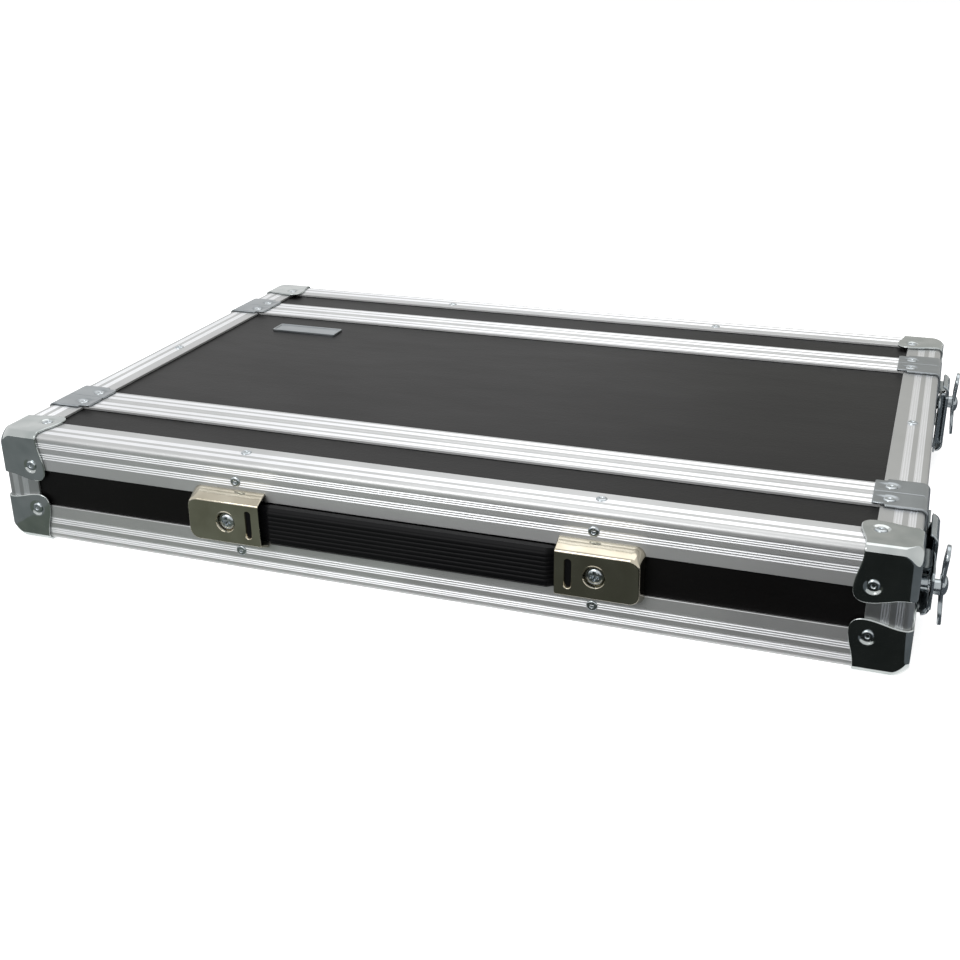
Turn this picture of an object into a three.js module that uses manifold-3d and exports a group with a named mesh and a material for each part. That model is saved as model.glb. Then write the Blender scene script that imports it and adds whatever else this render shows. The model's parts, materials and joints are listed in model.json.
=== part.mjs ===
// A shallow one-unit rack flight case that carries an effects rig: a plywood sleeve with a lid at
// each open end, aluminium edging, steel corners, four butterfly latches and a strap handle.
// Millimetres, +Z up. Inside this file X is centred, y = 0 is the front face of the edging and
// z = 0 its underside; the last lines move the origin to the middle of the case's footprint.
import * as THREE from "three";
import { mergeVertices } from "three/addons/utils/BufferGeometryUtils.js";
import { RoundedBoxGeometry } from "three/addons/geometries/RoundedBoxGeometry.js";
import Module from "manifold-3d";

const wasm = await Module();
wasm.setup();

// ---- driving dimensions ----
const caseWidth = 520;
const caseDepth = 356;
const caseHeight = 66.4;
const lidDepth = 66; // from the face of the edging to the split
const fit = 0.3; // clearance between pieces that rest on each other

const panelThickness = 7;
const edgingWall = 1.5;
const edgingLeg = 22; // width of each leg of the angle edging
const edgingRound = 2.5; // outer radius of the angle edging
const fluteDepth = 0.3;
const stripWidth = 14.5; // width of each closing profile beside the split
const tongueHeight = 3.6;
const tongueThickness = 2.2;
const seamGap = 0.4; // between the two closing profiles

const cornerSteel = 1.2;
const cornerReach = 25.4; // length of a corner cap along the case's edges
const cornerLobe = 28.7; // reach of its rounded lobes
const cornerGap = 0.2;
const ballCentre = 12; // distance of the ball's centre from the three outer faces
const ballRadius = 18;

const clipSteel = 1.2;
const clipWidth = 17.3;
const clipReach = 20.2;
const clipTabReach = 26.3;
const clipTabInset = 2.4;

const foamThickness = 5;
const railThickness = 2;
const railDepth = 22;
const railHoleSpacing = 465.1; // between the two columns of holes in a 19 inch rack
const railOpening = 450.8; // clear width between the rails
const railHolePitch = 15.875;
const railHoleRadius = 3;
const railSetback = 24; // from the split to the front of the rails

const badgeSize = new THREE.Vector3(50, 15, 1.4);
const badgeCentre = new THREE.Vector2(-182, 247);

const capInnerEnd = 85; // x of the handle cap's open end
const capLength = 43;
const capHeight = 9.6; // how far the cap stands out of the front
const capSteel = 1.2;
const capFaceHalf = 12.5; // half width of the cap's face
const capFootHalf = 16.5; // half width of its foot
const capFootSpread = 2.5; // how much further out its foot reaches at the closed end
const handleScrewX = 106;
const handleScrewRadius = 2.1;
const screwHeadRadius = 5;
const screwHeadHeight = 2.4;
const screwLength = 14;
const dimpleRadius = 7.6;
const dimpleDepth = 4;
const strapHalfWidth = 11.3;
const strapBack = 1.5; // gap between the strap and the front of the case
const strapThickness = 6;
const strapOverlap = 3; // how far the thick grip reaches into each cap
const strapTravel = 4;
const tongueHalfWidth = 8;
const strapCoreThickness = 2;

const latchCentre = 28; // from the split to the wing's spindle, on the lid
const wingSpan = 43.5;
const wingLobe = 6.6;
const wingWaist = 4.6;
const wingThickness = 2;
const wingLevel = 11; // underside of the wing above the case's side
const spindleRadius = 2.5;
const camRadius = 4;
const camThrow = 3; // the hook travels twice this far
const hookSteel = 1.5;
const hookLevel = 6.5; // underside of the hook above the case's side
const hookLift = 2.6; // how far the hook rises as it lets go
const hookStemHalf = 10;
const hookHeadHalf = 25;
const hookHeadFlat = 19; // half width of the flat part of the head
const hookHeadDrop = 4; // how far the head's ends curl down
const hookLipDepth = 2.3;
const ribOffset = 4.5; // from the split to the keeper's rib
const ribHeight = 4.3; // top of the rib above the keeper's seat
const keeperHalf = 18;
const keeperLength = 24;
const baseHalf = 12.5;
const baseBehind = 9; // from the spindle to the base's end beside the corner caps
const baseAhead = 13;
const baseSteel = 1.5;
const baseFlange = 6;

// ---- places worked out from the driving dimensions ----
const halfWidth = caseWidth / 2;
const halfHeight = caseHeight / 2;
const frontSplit = lidDepth;
const rearSplit = caseDepth - lidDepth;
const panelOuter = edgingWall + fit; // depth of the panels' outer face below the edging
const panelInner = panelOuter + panelThickness;
const channelInner = panelInner + fit + edgingWall; // inner face of the closing profiles
const maleFloor = seamGap / 2 + edgingWall;
const grooveDepth = tongueHeight + seamGap;
const femaleFloor = seamGap / 2 + grooveDepth + edgingWall;
const cornerProud = cornerGap + cornerSteel;
const capClosedEnd = capInnerEnd + capLength;
const screwSeat = capHeight - dimpleDepth;

// ---- helpers ----
const steel = (colour, roughness) =>
  new THREE.MeshStandardMaterial({ color: colour, roughness, metalness: 1 });
const looks = {
  aluminium: steel(0xc9cbcc, 0.35),
  chrome: steel(0xbfc3c6, 0.12),
  nickel: steel(0xb9b4a4, 0.18),
  zinc: steel(0xaab0b2, 0.25),
  laminate: new THREE.MeshStandardMaterial({ color: 0x262626, roughness: 0.45 }),
  rubber: new THREE.MeshStandardMaterial({ color: 0x121214, roughness: 0.55 }),
  foam: new THREE.MeshStandardMaterial({ color: 0x1c1c1e, roughness: 0.95 }),
  powderCoat: new THREE.MeshStandardMaterial({ color: 0x1a1a1a, roughness: 0.6 }),
};

const solidOf = (geometry) => {
  const bare = geometry.index ? geometry.toNonIndexed() : geometry.clone();
  bare.deleteAttribute("normal");
  bare.deleteAttribute("uv");
  const merged = mergeVertices(bare, 1e-4);
  return new wasm.Manifold(
    new wasm.Mesh({
      numProp: 3,
      vertProperties: merged.attributes.position.array,
      triVerts: new Uint32Array(merged.index.array),
    }),
  );
};

const geometryOf = (solid) => {
  const made = solid.getMesh();
  return new THREE.BufferGeometry()
    .setAttribute("position", new THREE.BufferAttribute(made.vertProperties, 3))
    .setIndex(new THREE.BufferAttribute(made.triVerts, 1));
};

const cut = (geometry, ...tools) =>
  geometryOf(tools.reduce((left, tool) => left.subtract(solidOf(tool)), solidOf(geometry)));

const join = (first, ...others) =>
  geometryOf(others.reduce((left, other) => left.add(solidOf(other)), solidOf(first)));

const block = (x0, x1, y0, y1, z0, z1) =>
  new THREE.BoxGeometry(x1 - x0, y1 - y0, z1 - z0).translate(
    (x0 + x1) / 2,
    (y0 + y1) / 2,
    (z0 + z1) / 2,
  );

const outline = (points) => new THREE.Shape(points.map(([x, y]) => new THREE.Vector2(x, y)));

// An outline in X and Y, drawn up +Z.
const prism = (shape, height, segments = 6) =>
  new THREE.ExtrudeGeometry(shape, {
    depth: height,
    bevelEnabled: false,
    curveSegments: segments,
  });

// An outline in X and Z, drawn along +Y.
const prismAlongY = (shape, length, segments) =>
  prism(shape, length, segments).rotateX(Math.PI / 2).translate(0, length, 0);

// An outline in Y and Z, drawn along +X.
const prismAlongX = (shape, length, segments) =>
  prism(shape, length, segments).rotateX(Math.PI / 2).rotateZ(Math.PI / 2);

const rodAlongX = (radius, x0, x1, y, z, sides = 16) =>
  new THREE.CylinderGeometry(radius, radius, x1 - x0, sides)
    .rotateZ(Math.PI / 2)
    .translate((x0 + x1) / 2, y, z);

const rodAlongY = (radius, x, y0, y1, z, sides = 16) =>
  new THREE.CylinderGeometry(radius, radius, y1 - y0, sides).translate(x, (y0 + y1) / 2, z);

// A cone frustum along Y: farRadius at y0, nearRadius at y1.
const coneAlongY = (farRadius, nearRadius, x, y0, y1, z, sides = 20) =>
  new THREE.CylinderGeometry(nearRadius, farRadius, y1 - y0, sides).translate(
    x,
    (y0 + y1) / 2,
    z,
  );

// Rings of equally many points, joined side to side and closed by a fan at each end.
const loft = (rings) => {
  const count = rings[0].length;
  const points = rings.flat();
  const faces = [];
  rings.slice(1).forEach((ring, level) =>
    ring.forEach((_, i) => {
      const low = level * count;
      const next = (i + 1) % count;
      faces.push(low + i, low + count + next, low + next);
      faces.push(low + i, low + count + i, low + count + next);
    }),
  );
  const last = (rings.length - 1) * count;
  for (let i = 1; i < count - 1; i++) {
    faces.push(0, i, i + 1);
    faces.push(last, last + i + 1, last + i);
  }
  return new THREE.BufferGeometry()
    .setAttribute("position", new THREE.Float32BufferAttribute(points.flat(), 3))
    .setIndex(faces);
};

// A section of [along, inward] points carried round the case's rectangle with mitred corners:
// along is measured on Y from the section's own plane, inward from the outer faces.
const mitredRing = (section) => {
  const turns = [[1, 1], [-1, 1], [-1, -1], [1, -1]];
  const count = section.length;
  const points = turns.flatMap(([sideX, sideZ]) =>
    section.map(([along, inward]) => [
      sideX * (halfWidth - inward),
      along,
      halfHeight + sideZ * (halfHeight - inward),
    ]),
  );
  const faces = [];
  turns.forEach((_, turn) =>
    section.forEach((__, i) => {
      const here = turn * count;
      const there = ((turn + 1) % turns.length) * count;
      const next = (i + 1) % count;
      faces.push(here + i, here + next, there + next);
      faces.push(here + i, there + next, there + i);
    }),
  );
  return new THREE.BufferGeometry()
    .setAttribute("position", new THREE.Float32BufferAttribute(points.flat(), 3))
    .setIndex(faces);
};

// The case's outer section with its four long edges rounded, drawn along Y.
const roundedCase = () => {
  const corner = (signX, signZ, order) =>
    order.map((step) => {
      const angle = (step / 3) * (Math.PI / 2);
      return [
        signX * (halfWidth - edgingRound * (1 - Math.cos(angle))),
        halfHeight + signZ * (halfHeight - edgingRound * (1 - Math.sin(angle))),
      ];
    });
  const up = [0, 1, 2, 3];
  const down = [3, 2, 1, 0];
  return prismAlongY(
    outline([
      ...corner(1, 1, up),
      ...corner(-1, 1, down),
      ...corner(-1, -1, up),
      ...corner(1, -1, down),
    ]),
    40,
  ).translate(0, -10, 0);
};

const model = new THREE.Group();

const add = (parent, name, geometry, material) => {
  const mesh = new THREE.Mesh(geometry, material);
  mesh.name = name;
  parent.add(mesh);
  return mesh;
};

// A group at a place, turned over on any axis whose sign is -1.
const placed = (x, y, z, signX = 1, signY = 1, signZ = 1) => {
  const group = new THREE.Group();
  group.position.set(x, y, z);
  group.scale.set(signX, signY, signZ);
  model.add(group);
  return group;
};

// The four edges that run front to back, and the ends of the case.
const fourEdges = ["top", "bottom"].flatMap((level) =>
  ["left", "right"].map((side) => ({
    name: `${level}_${side}`,
    signX: side === "right" ? 1 : -1,
    signZ: level === "top" ? 1 : -1,
    x: side === "right" ? halfWidth : -halfWidth,
    z: level === "top" ? caseHeight : 0,
  })),
);
const ends = [
  { name: "front", signY: 1, face: 0, split: frontSplit },
  { name: "rear", signY: -1, face: caseDepth, split: rearSplit },
];

// ---- sections of the edging ----
// Shallow fluted bands along a leg, as [from, to] distances from the corner or the split.
const legBands = [[4, 7.6], [10.4, 14.4]];
const stripBands = [[2, 5.2], [7.6, 11]];

// The outer face of a leg: points [distance, depth] with its bands sunk by fluteDepth.
const bandedFace = (bands) =>
  bands.flatMap(([from, to]) => [
    [from, 0],
    [from, fluteDepth],
    [to, fluteDepth],
    [to, 0],
  ]);

// Angle edging: [a, b] points with the corner at the origin and both legs in the positive quadrant.
const angleSection = () => {
  const arc = [0, 1, 2, 3].map((step) => {
    const angle = (step / 3) * (Math.PI / 2);
    return [
      edgingRound * (1 - Math.cos(angle)),
      edgingRound * (1 - Math.sin(angle)),
    ];
  });
  const face = bandedFace(legBands);
  return [
    [edgingWall, edgingWall],
    [edgingWall, edgingLeg],
    [0, edgingLeg],
    ...face.map(([distance, depth]) => [depth, distance]).reverse(),
    ...arc,
    ...face,
    [edgingLeg, 0],
    [edgingLeg, edgingWall],
  ];
};

// Closing profiles: a channel that grips the panels' ends. The lid's carries the tongue,
// the sleeve's the groove that it seats in.
const tongueMiddle = (panelOuter + panelInner) / 2;
const closingLegs = (floor) => ({
  outer: [
    ...bandedFace(stripBands),
    [stripWidth, 0],
    [stripWidth, edgingWall],
    [floor, edgingWall],
  ],
  inner: [
    [floor, channelInner - edgingWall],
    [stripWidth, channelInner - edgingWall],
    [stripWidth, channelInner],
  ],
});

const maleSection = () => {
  const legs = closingLegs(maleFloor);
  return [
    [seamGap / 2, 0],
    ...legs.outer,
    ...legs.inner,
    [seamGap / 2, channelInner],
    [seamGap / 2, tongueMiddle + tongueThickness / 2],
    [-tongueHeight, tongueMiddle + tongueThickness / 2],
    [-tongueHeight, tongueMiddle - tongueThickness / 2],
    [seamGap / 2, tongueMiddle - tongueThickness / 2],
  ];
};

const femaleSection = () => {
  const legs = closingLegs(maleFloor);
  const halfGroove = tongueThickness / 2 + fit;
  const halfBlock = halfGroove + edgingWall;
  return [
    [seamGap / 2, 0],
    ...legs.outer,
    [maleFloor, tongueMiddle - halfBlock],
    [femaleFloor, tongueMiddle - halfBlock],
    [femaleFloor, tongueMiddle + halfBlock],
    [maleFloor, tongueMiddle + halfBlock],
    ...legs.inner,
    [seamGap / 2, channelInner],
    [seamGap / 2, tongueMiddle + halfGroove],
    [seamGap / 2 + grooveDepth, tongueMiddle + halfGroove],
    [seamGap / 2 + grooveDepth, tongueMiddle - halfGroove],
    [seamGap / 2, tongueMiddle - halfGroove],
  ];
};

// ---- pressed steel clip over each corner of a closing profile ----
// Drawn with the case's edge at the origin, the case in +X and +Z, y = 0 at the split.
const clipSolid = () => {
  // It is fast to the profile, so it sinks past the flutes there, and laps the edging beside it.
  const sunk = fluteDepth + 0.15;
  const corner = (offset, far) => {
    const radius = edgingRound - offset;
    const arc = [0, 1, 2, 3].map((step) => {
      const angle = (step / 3) * (Math.PI / 2);
      return [offset + radius * (1 - Math.sin(angle)), offset + radius * (1 - Math.cos(angle))];
    });
    return outline([...arc, [offset, far], [far, far], [far, offset]]);
  };
  const shell = cut(
    prismAlongY(corner(-cornerProud, clipTabReach), clipWidth - seamGap / 2).translate(
      0,
      seamGap / 2,
      0,
    ),
    prismAlongY(corner(sunk, 60), 60).translate(0, -1, 0),
    prismAlongY(corner(-cornerGap, 60), 60).translate(0, stripWidth, 0),
  );
  const tabCut = (level) => [
    block(clipReach, 60, clipWidth - clipTabInset, 60, -10, level),
    block(-10, level, clipWidth - clipTabInset, 60, clipReach, 60),
  ];
  return cut(shell, ...tabCut(10));
};

const closingFrame = (section) => {
  const ring = solidOf(mitredRing(section)).intersect(solidOf(roundedCase()));
  return fourEdges.reduce((frame, edge) => {
    const clip = clipSolid()
      .scale(-edge.signX, 1, -edge.signZ)
      .translate(edge.x, 0, edge.z);
    if (edge.signX * edge.signZ < 0) turnInsideOut(clip);
    return frame.add(solidOf(clip));
  }, ring);
};

const turnInsideOut = (geometry) => {
  const index = geometry.index.array;
  for (let i = 0; i < index.length; i += 3)
    [index[i + 1], index[i + 2]] = [index[i + 2], index[i + 1]];
};

// ---- sleeve ----
const buildSleeve = () => {
  const from = frontSplit + femaleFloor + fit;
  const to = rearSplit - femaleFloor - fit;
  const across = halfWidth - panelOuter;
  for (const [name, low] of [
    ["body_bottom_panel", panelOuter],
    ["body_top_panel", caseHeight - panelInner],
  ])
    add(model, name, block(-across, across, from, to, low, low + panelThickness), looks.laminate);
  for (const [name, low] of [
    ["body_left_panel", -halfWidth + panelOuter],
    ["body_right_panel", halfWidth - panelInner],
  ])
    add(
      model,
      name,
      block(low, low + panelThickness, from, to, panelInner + fit, caseHeight - panelInner - fit),
      looks.laminate,
    );
  const edgeFrom = frontSplit + stripWidth + fit;
  const edgeTo = rearSplit - stripWidth - fit;
  for (const edge of fourEdges)
    add(
      placed(edge.x, edgeFrom, edge.z, -edge.signX, 1, -edge.signZ),
      `body_edge_${edge.name}`,
      prismAlongY(outline(angleSection()), edgeTo - edgeFrom),
      looks.aluminium,
    );
  for (const end of ends)
    add(
      placed(0, end.split, 0, 1, end.signY, 1),
      `body_${end.name}_frame`,
      geometryOf(closingFrame(femaleSection())),
      looks.aluminium,
    );
};

// ---- rack rails: steel angle with the 19 inch hole pattern ----
const buildRails = () => {
  const low = panelInner + fit;
  const wallFace = halfWidth - panelInner - fit;
  const front = frontSplit + railSetback;
  const angle = join(
    block(wallFace - railThickness, wallFace, front, front + railDepth, low, caseHeight - low),
    block(railOpening / 2, wallFace, front, front + railThickness, low, caseHeight - low),
  );
  const holes = [-1, 0, 1].map((step) =>
    rodAlongY(
      railHoleRadius,
      railHoleSpacing / 2,
      front - 1,
      front + railThickness + 1,
      halfHeight + step * railHolePitch,
      12,
    ),
  );
  for (const [side, signX] of [["left", -1], ["right", 1]])
    add(placed(0, 0, 0, signX), `rack_rail_${side}`, cut(angle, ...holes), looks.powderCoat);
};

// ---- lids ----
const wallRing = (from, to) =>
  mitredRing([
    [from, panelOuter],
    [to, panelOuter],
    [to, panelInner],
    [from, panelInner],
  ]);

// A pressed corner cap with its vertex at the origin and the case in the positive octant.
const cornerCap = () => {
  const size = 80;
  const skin = (offset, radius, ball) => {
    const box = new RoundedBoxGeometry(size, size, size, 2, radius).translate(
      size / 2 - offset,
      size / 2 - offset,
      size / 2 - offset,
    );
    const sphere = new THREE.SphereGeometry(ball, 36, 24).translate(
      ballCentre,
      ballCentre,
      ballCentre,
    );
    const beyond = block(ballCentre, 90, -20, 90, -20, 90);
    const rest = join(
      beyond,
      block(-20, 90, ballCentre, 90, -20, 90),
      block(-20, 90, -20, 90, ballCentre, 90),
    );
    return solidOf(box).intersect(solidOf(join(sphere, rest)));
  };
  const flap = outline([
    [-10, -10],
    [cornerReach, -10],
    [cornerReach, 0],
    [cornerReach + 0.6, 8],
    [cornerLobe, 20],
    [cornerLobe - 0.6, 24],
    [cornerLobe - 3, cornerLobe - 3],
    [24, cornerLobe - 0.6],
    [20, cornerLobe],
    [8, cornerReach + 0.6],
    [0, cornerReach],
    [-10, cornerReach],
  ]);
  const depth = 8;
  const back = -4;
  const masks = join(
    prism(flap, depth).translate(0, 0, back),
    prismAlongY(flap, depth).translate(0, back, 0),
    prismAlongX(flap, depth).translate(back, 0, 0),
  );
  return geometryOf(
    skin(cornerProud, edgingRound + cornerProud, ballRadius)
      .subtract(skin(cornerGap, edgingRound + cornerGap, ballRadius - cornerSteel))
      .intersect(solidOf(masks)),
  );
};

// What the edging and the panels lose at a corner, so that the ball seats over them.
const cornerRelief = () => {
  const reach = ballCentre;
  const ball = new THREE.SphereGeometry(ballRadius - cornerSteel - cornerGap, 36, 24).translate(
    ballCentre,
    ballCentre,
    ballCentre,
  );
  return cut(block(-5, reach, -5, reach, -5, reach), ball);
};

const buildLid = (end) => {
  const lid = placed(0, end.face, 0, 1, end.signY, 1);
  const label = `${end.name}_lid`;
  const reliefs = fourEdges.map((edge) => {
    const relief = cornerRelief()
      .scale(-edge.signX, 1, -edge.signZ)
      .translate(edge.x, 0, edge.z);
    if (edge.signX * edge.signZ < 0) turnInsideOut(relief);
    return relief;
  });
  const inside = panelInner + fit;
  const screwHoles =
    end.name === "front"
      ? [-1, 1].map((side) =>
          rodAlongY(handleScrewRadius + fit, side * handleScrewX, 0, 20, halfHeight, 12),
        )
      : [];
  const ring = solidOf(mitredRing(angleSection())).intersect(solidOf(roundedCase()));
  add(lid, `${label}_frame_edging`, cut(geometryOf(ring), ...reliefs), looks.aluminium);
  add(
    lid,
    `${label}_face_panel`,
    cut(
      block(
        -halfWidth + panelOuter,
        halfWidth - panelOuter,
        panelOuter,
        panelInner,
        panelOuter,
        caseHeight - panelOuter,
      ),
      ...reliefs,
      ...screwHoles,
    ),
    looks.laminate,
  );
  add(
    lid,
    `${label}_wall_panels`,
    wallRing(inside, lidDepth - maleFloor - fit),
    looks.laminate,
  );
  const foamInset = channelInner + 2;
  add(
    lid,
    `${label}_foam`,
    cut(
      block(
        -halfWidth + foamInset,
        halfWidth - foamInset,
        inside,
        inside + foamThickness,
        foamInset,
        caseHeight - foamInset,
      ),
      ...screwHoles,
    ),
    looks.foam,
  );
  const closing = placed(0, end.split, 0, 1, -end.signY, 1);
  add(
    closing,
    `${label}_closing_frame`,
    geometryOf(closingFrame(maleSection())),
    looks.aluminium,
  );
  const edgeFrom = edgingLeg + fit;
  const edgeTo = lidDepth - stripWidth - fit;
  for (const edge of fourEdges) {
    const signY = end.signY;
    add(
      placed(edge.x, end.face + signY * edgeFrom, edge.z, -edge.signX, signY, -edge.signZ),
      `${label}_edge_${edge.name}`,
      prismAlongY(outline(angleSection()), edgeTo - edgeFrom),
      looks.aluminium,
    );
    add(
      placed(edge.x, end.face, edge.z, -edge.signX, signY, -edge.signZ),
      `${label}_corner_${edge.name}`,
      cornerCap(),
      looks.chrome,
    );
  }
};

// ---- strap handle on the front lid ----
// An outline of the cap at one height: its open end is square, its closed end has round corners.
const capRing = (y, innerX, outerX, half, radius) => {
  const steps = [0, 1, 2, 3, 4];
  const arc = (signZ, order) =>
    order.map((step) => {
      const angle = (step / 4) * (Math.PI / 2);
      return [
        outerX - radius * (1 - Math.sin(angle)),
        y,
        halfHeight + signZ * (half - radius * (1 - Math.cos(angle))),
      ];
    });
  return [
    [innerX, y, halfHeight + half],
    ...arc(1, steps),
    ...arc(-1, [...steps].reverse()),
    [innerX, y, halfHeight - half],
  ];
};

// The cap's outer form, drawn smaller all round by a shrink.
const capForm = (shrink, innerX, foot, round) => {
  const face = -capHeight + shrink;
  const shoulder = face + round;
  const slope = (capFootHalf - capFaceHalf) / capHeight;
  const half = (y) => capFaceHalf + slope * (y + capHeight) - shrink;
  const end = (y) => capClosedEnd + (capFootSpread / capHeight) * (y + capHeight) - shrink;
  return loft([
    capRing(foot, innerX, end(foot), half(foot), 8),
    capRing(shoulder, innerX, end(shoulder), half(shoulder), 8),
    capRing(face + round / 3, innerX, end(face) - round * 0.3, half(face) - round * 0.3, 8),
    capRing(face, innerX, end(face) - round, half(face) - round, 7),
  ]);
};

const handleCap = () => {
  const shell = cut(
    capForm(0, capInnerEnd, -fit, 1.8),
    capForm(capSteel, capInnerEnd - 1, 1, 1.2),
  );
  const cup = coneAlongY(
    dimpleRadius + 0.6,
    screwHeadRadius + 1.6,
    handleScrewX,
    -capHeight,
    -screwSeat + capSteel,
    halfHeight,
  );
  const hollow = coneAlongY(
    dimpleRadius,
    screwHeadRadius + 0.6,
    handleScrewX,
    -capHeight - 0.01,
    -screwSeat,
    halfHeight,
  );
  const shankHole = rodAlongY(handleScrewRadius + fit, handleScrewX, -capHeight, 5, halfHeight, 12);
  return cut(join(shell, cup), hollow, shankHole);
};

const handleScrew = () =>
  join(
    rodAlongY(
      screwHeadRadius,
      handleScrewX,
      -screwSeat - screwHeadHeight,
      -screwSeat - cornerGap,
      halfHeight,
    ),
    rodAlongY(
      handleScrewRadius,
      handleScrewX,
      -screwSeat - screwHeadHeight / 2,
      screwLength - screwSeat,
      halfHeight,
      12,
    ),
  );

const strap = () => {
  const gripEnd = capInnerEnd + strapOverlap;
  const coreEnd = handleScrewX + handleScrewRadius + strapTravel + fit + 5;
  const back = -strapBack;
  const front = back - strapThickness;
  const bevel = 1.6;
  const grip = prismAlongX(
    outline([
      [back, halfHeight - strapHalfWidth + bevel],
      [back - bevel, halfHeight - strapHalfWidth],
      [front + bevel, halfHeight - strapHalfWidth],
      [front, halfHeight - strapHalfWidth + bevel],
      [front, halfHeight + strapHalfWidth - bevel],
      [front + bevel, halfHeight + strapHalfWidth],
      [back - bevel, halfHeight + strapHalfWidth],
      [back, halfHeight + strapHalfWidth - bevel],
    ].reverse()),
    2 * gripEnd,
  ).translate(-gripEnd, 0, 0);
  const core = block(
    -coreEnd,
    coreEnd,
    back - strapCoreThickness,
    back,
    halfHeight - tongueHalfWidth,
    halfHeight + tongueHalfWidth,
  );
  const reach = handleScrewRadius + fit + strapTravel;
  const slots = [-1, 1].map((side) =>
    block(
      side * handleScrewX - reach,
      side * handleScrewX + reach,
      -strapThickness,
      0,
      halfHeight - handleScrewRadius - fit,
      halfHeight + handleScrewRadius + fit,
    ),
  );
  return cut(join(grip, core), ...slots);
};

const buildHandle = () => {
  for (const [side, signX] of [["left", -1], ["right", 1]]) {
    const spot = placed(0, 0, 0, signX);
    add(spot, `handle_cap_${side}`, handleCap(), looks.nickel);
    add(spot, `handle_screw_${side}`, handleScrew(), looks.zinc);
  }
  add(model, "handle_strap", strap(), looks.rubber);
};

// ---- butterfly latch ----
// Local frame: x out of the case's side, y from the lid into the sleeve with the split at 0,
// z up from mid height.
const latchBase = () => {
  const floor = fit;
  const from = -latchCentre - baseBehind;
  const to = -latchCentre + baseAhead;
  const plate = block(floor, floor + baseSteel, from, to, -baseHalf, baseHalf);
  const flanges = [-1, 1].map((side) =>
    block(
      floor,
      baseFlange,
      from,
      to,
      Math.min(side * (baseHalf - baseSteel), side * baseHalf),
      Math.max(side * (baseHalf - baseSteel), side * baseHalf),
    ),
  );
  const bearing = rodAlongX(spindleRadius + 2, floor, baseFlange - 0.6, -latchCentre, 0, 16);
  const hole = rodAlongX(spindleRadius + fit, -1, baseFlange + 1, -latchCentre, 0, 16);
  return cut(join(plate, ...flanges, bearing), hole);
};

const latchWing = () => {
  const lobeCentre = wingSpan / 2 - wingLobe;
  const blend = Math.asin(wingWaist / wingLobe) * 0.9;
  const shape = new THREE.Shape();
  shape.moveTo(wingWaist, 0);
  shape.lineTo(wingWaist, lobeCentre - wingLobe * Math.cos(blend));
  shape.absarc(0, lobeCentre, wingLobe, -Math.PI / 2 + blend, Math.PI * 1.5 - blend, false);
  shape.lineTo(-wingWaist, 0);
  shape.lineTo(-wingWaist, -lobeCentre + wingLobe * Math.cos(blend));
  shape.absarc(0, -lobeCentre, wingLobe, Math.PI / 2 + blend, Math.PI * 2.5 - blend, false);
  const blade = prismAlongX(shape, wingThickness, 8).translate(wingLevel, -latchCentre, 0);
  const spindle = rodAlongX(spindleRadius, fit + 0.1, baseFlange + 0.3, -latchCentre, 0, 16);
  const cam = rodAlongX(camRadius, baseFlange + 0.1, wingLevel + 0.5, -latchCentre - camThrow, 0, 20);
  const dome = new THREE.SphereGeometry(5, 16, 10)
    .scale(0.5, 1, 1)
    .translate(wingLevel + wingThickness, -latchCentre, 0);
  return join(blade, spindle, cam, dome);
};

const hookLip = ribOffset + 1.5 + 1; // y of the lip's near face: behind the rib with 1 mm of play
const latchHook = () => {
  const stemFrom = -latchCentre - baseBehind - 3;
  const headFrom = -latchCentre + 2.5 + camRadius;
  const top = hookLevel + hookSteel;
  const stem = block(hookLevel, top, stemFrom, headFrom + 1, -hookStemHalf, hookStemHalf);
  const headLength = hookLip + hookSteel - headFrom;
  const head = prismAlongY(
    outline([
      [hookLevel, hookHeadFlat],
      [hookLevel, -hookHeadFlat],
      [hookLevel - hookHeadDrop + 1.2, -hookHeadHalf + 1.6],
      [hookLevel - hookHeadDrop, -hookHeadHalf + 0.8],
      [hookLevel - hookHeadDrop + 0.5, -hookHeadHalf],
      [hookLevel - hookHeadDrop + 2.6, -hookHeadHalf + 0.6],
      [top, -hookHeadFlat - 0.8],
      [top, hookHeadFlat + 0.8],
      [hookLevel - hookHeadDrop + 2.6, hookHeadHalf - 0.6],
      [hookLevel - hookHeadDrop + 0.5, hookHeadHalf],
      [hookLevel - hookHeadDrop, hookHeadHalf - 0.8],
      [hookLevel - hookHeadDrop + 1.2, hookHeadHalf - 1.6],
    ]),
    headLength,
  ).translate(0, headFrom, 0);
  const lip = block(
    hookLevel - hookLipDepth,
    top - 0.2,
    hookLip,
    hookLip + hookSteel,
    -keeperHalf + 2,
    keeperHalf - 2,
  );
  const play = 0.75;
  const window = block(
    hookLevel - 2,
    top + 2,
    -latchCentre - camThrow - camRadius - play,
    -latchCentre - camThrow + camRadius + play,
    -camRadius - camThrow - play,
    camRadius + camThrow + play,
  );
  return cut(join(stem, head, lip), window);
};

const latchKeeper = () => {
  const seat = cornerProud + fit;
  const plate = block(seat, seat + hookSteel, 1, 1 + keeperLength, -keeperHalf, keeperHalf);
  const rib = block(seat, seat + ribHeight, ribOffset, ribOffset + 1.5, -keeperHalf, keeperHalf);
  return join(plate, rib);
};

const buildLatches = () => {
  for (const end of ends)
    for (const [side, signX] of [["left", -1], ["right", 1]]) {
      const spot = placed(signX * halfWidth, end.split, halfHeight, signX, end.signY, 1);
      const label = `latch_${end.name}_${side}`;
      add(spot, `${label}_base`, latchBase(), looks.zinc);
      add(spot, `${label}_hook`, latchHook(), looks.zinc);
      add(spot, `${label}_wing`, latchWing(), looks.zinc);
      add(spot, `${label}_keeper`, latchKeeper(), looks.zinc);
    }
};

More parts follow.
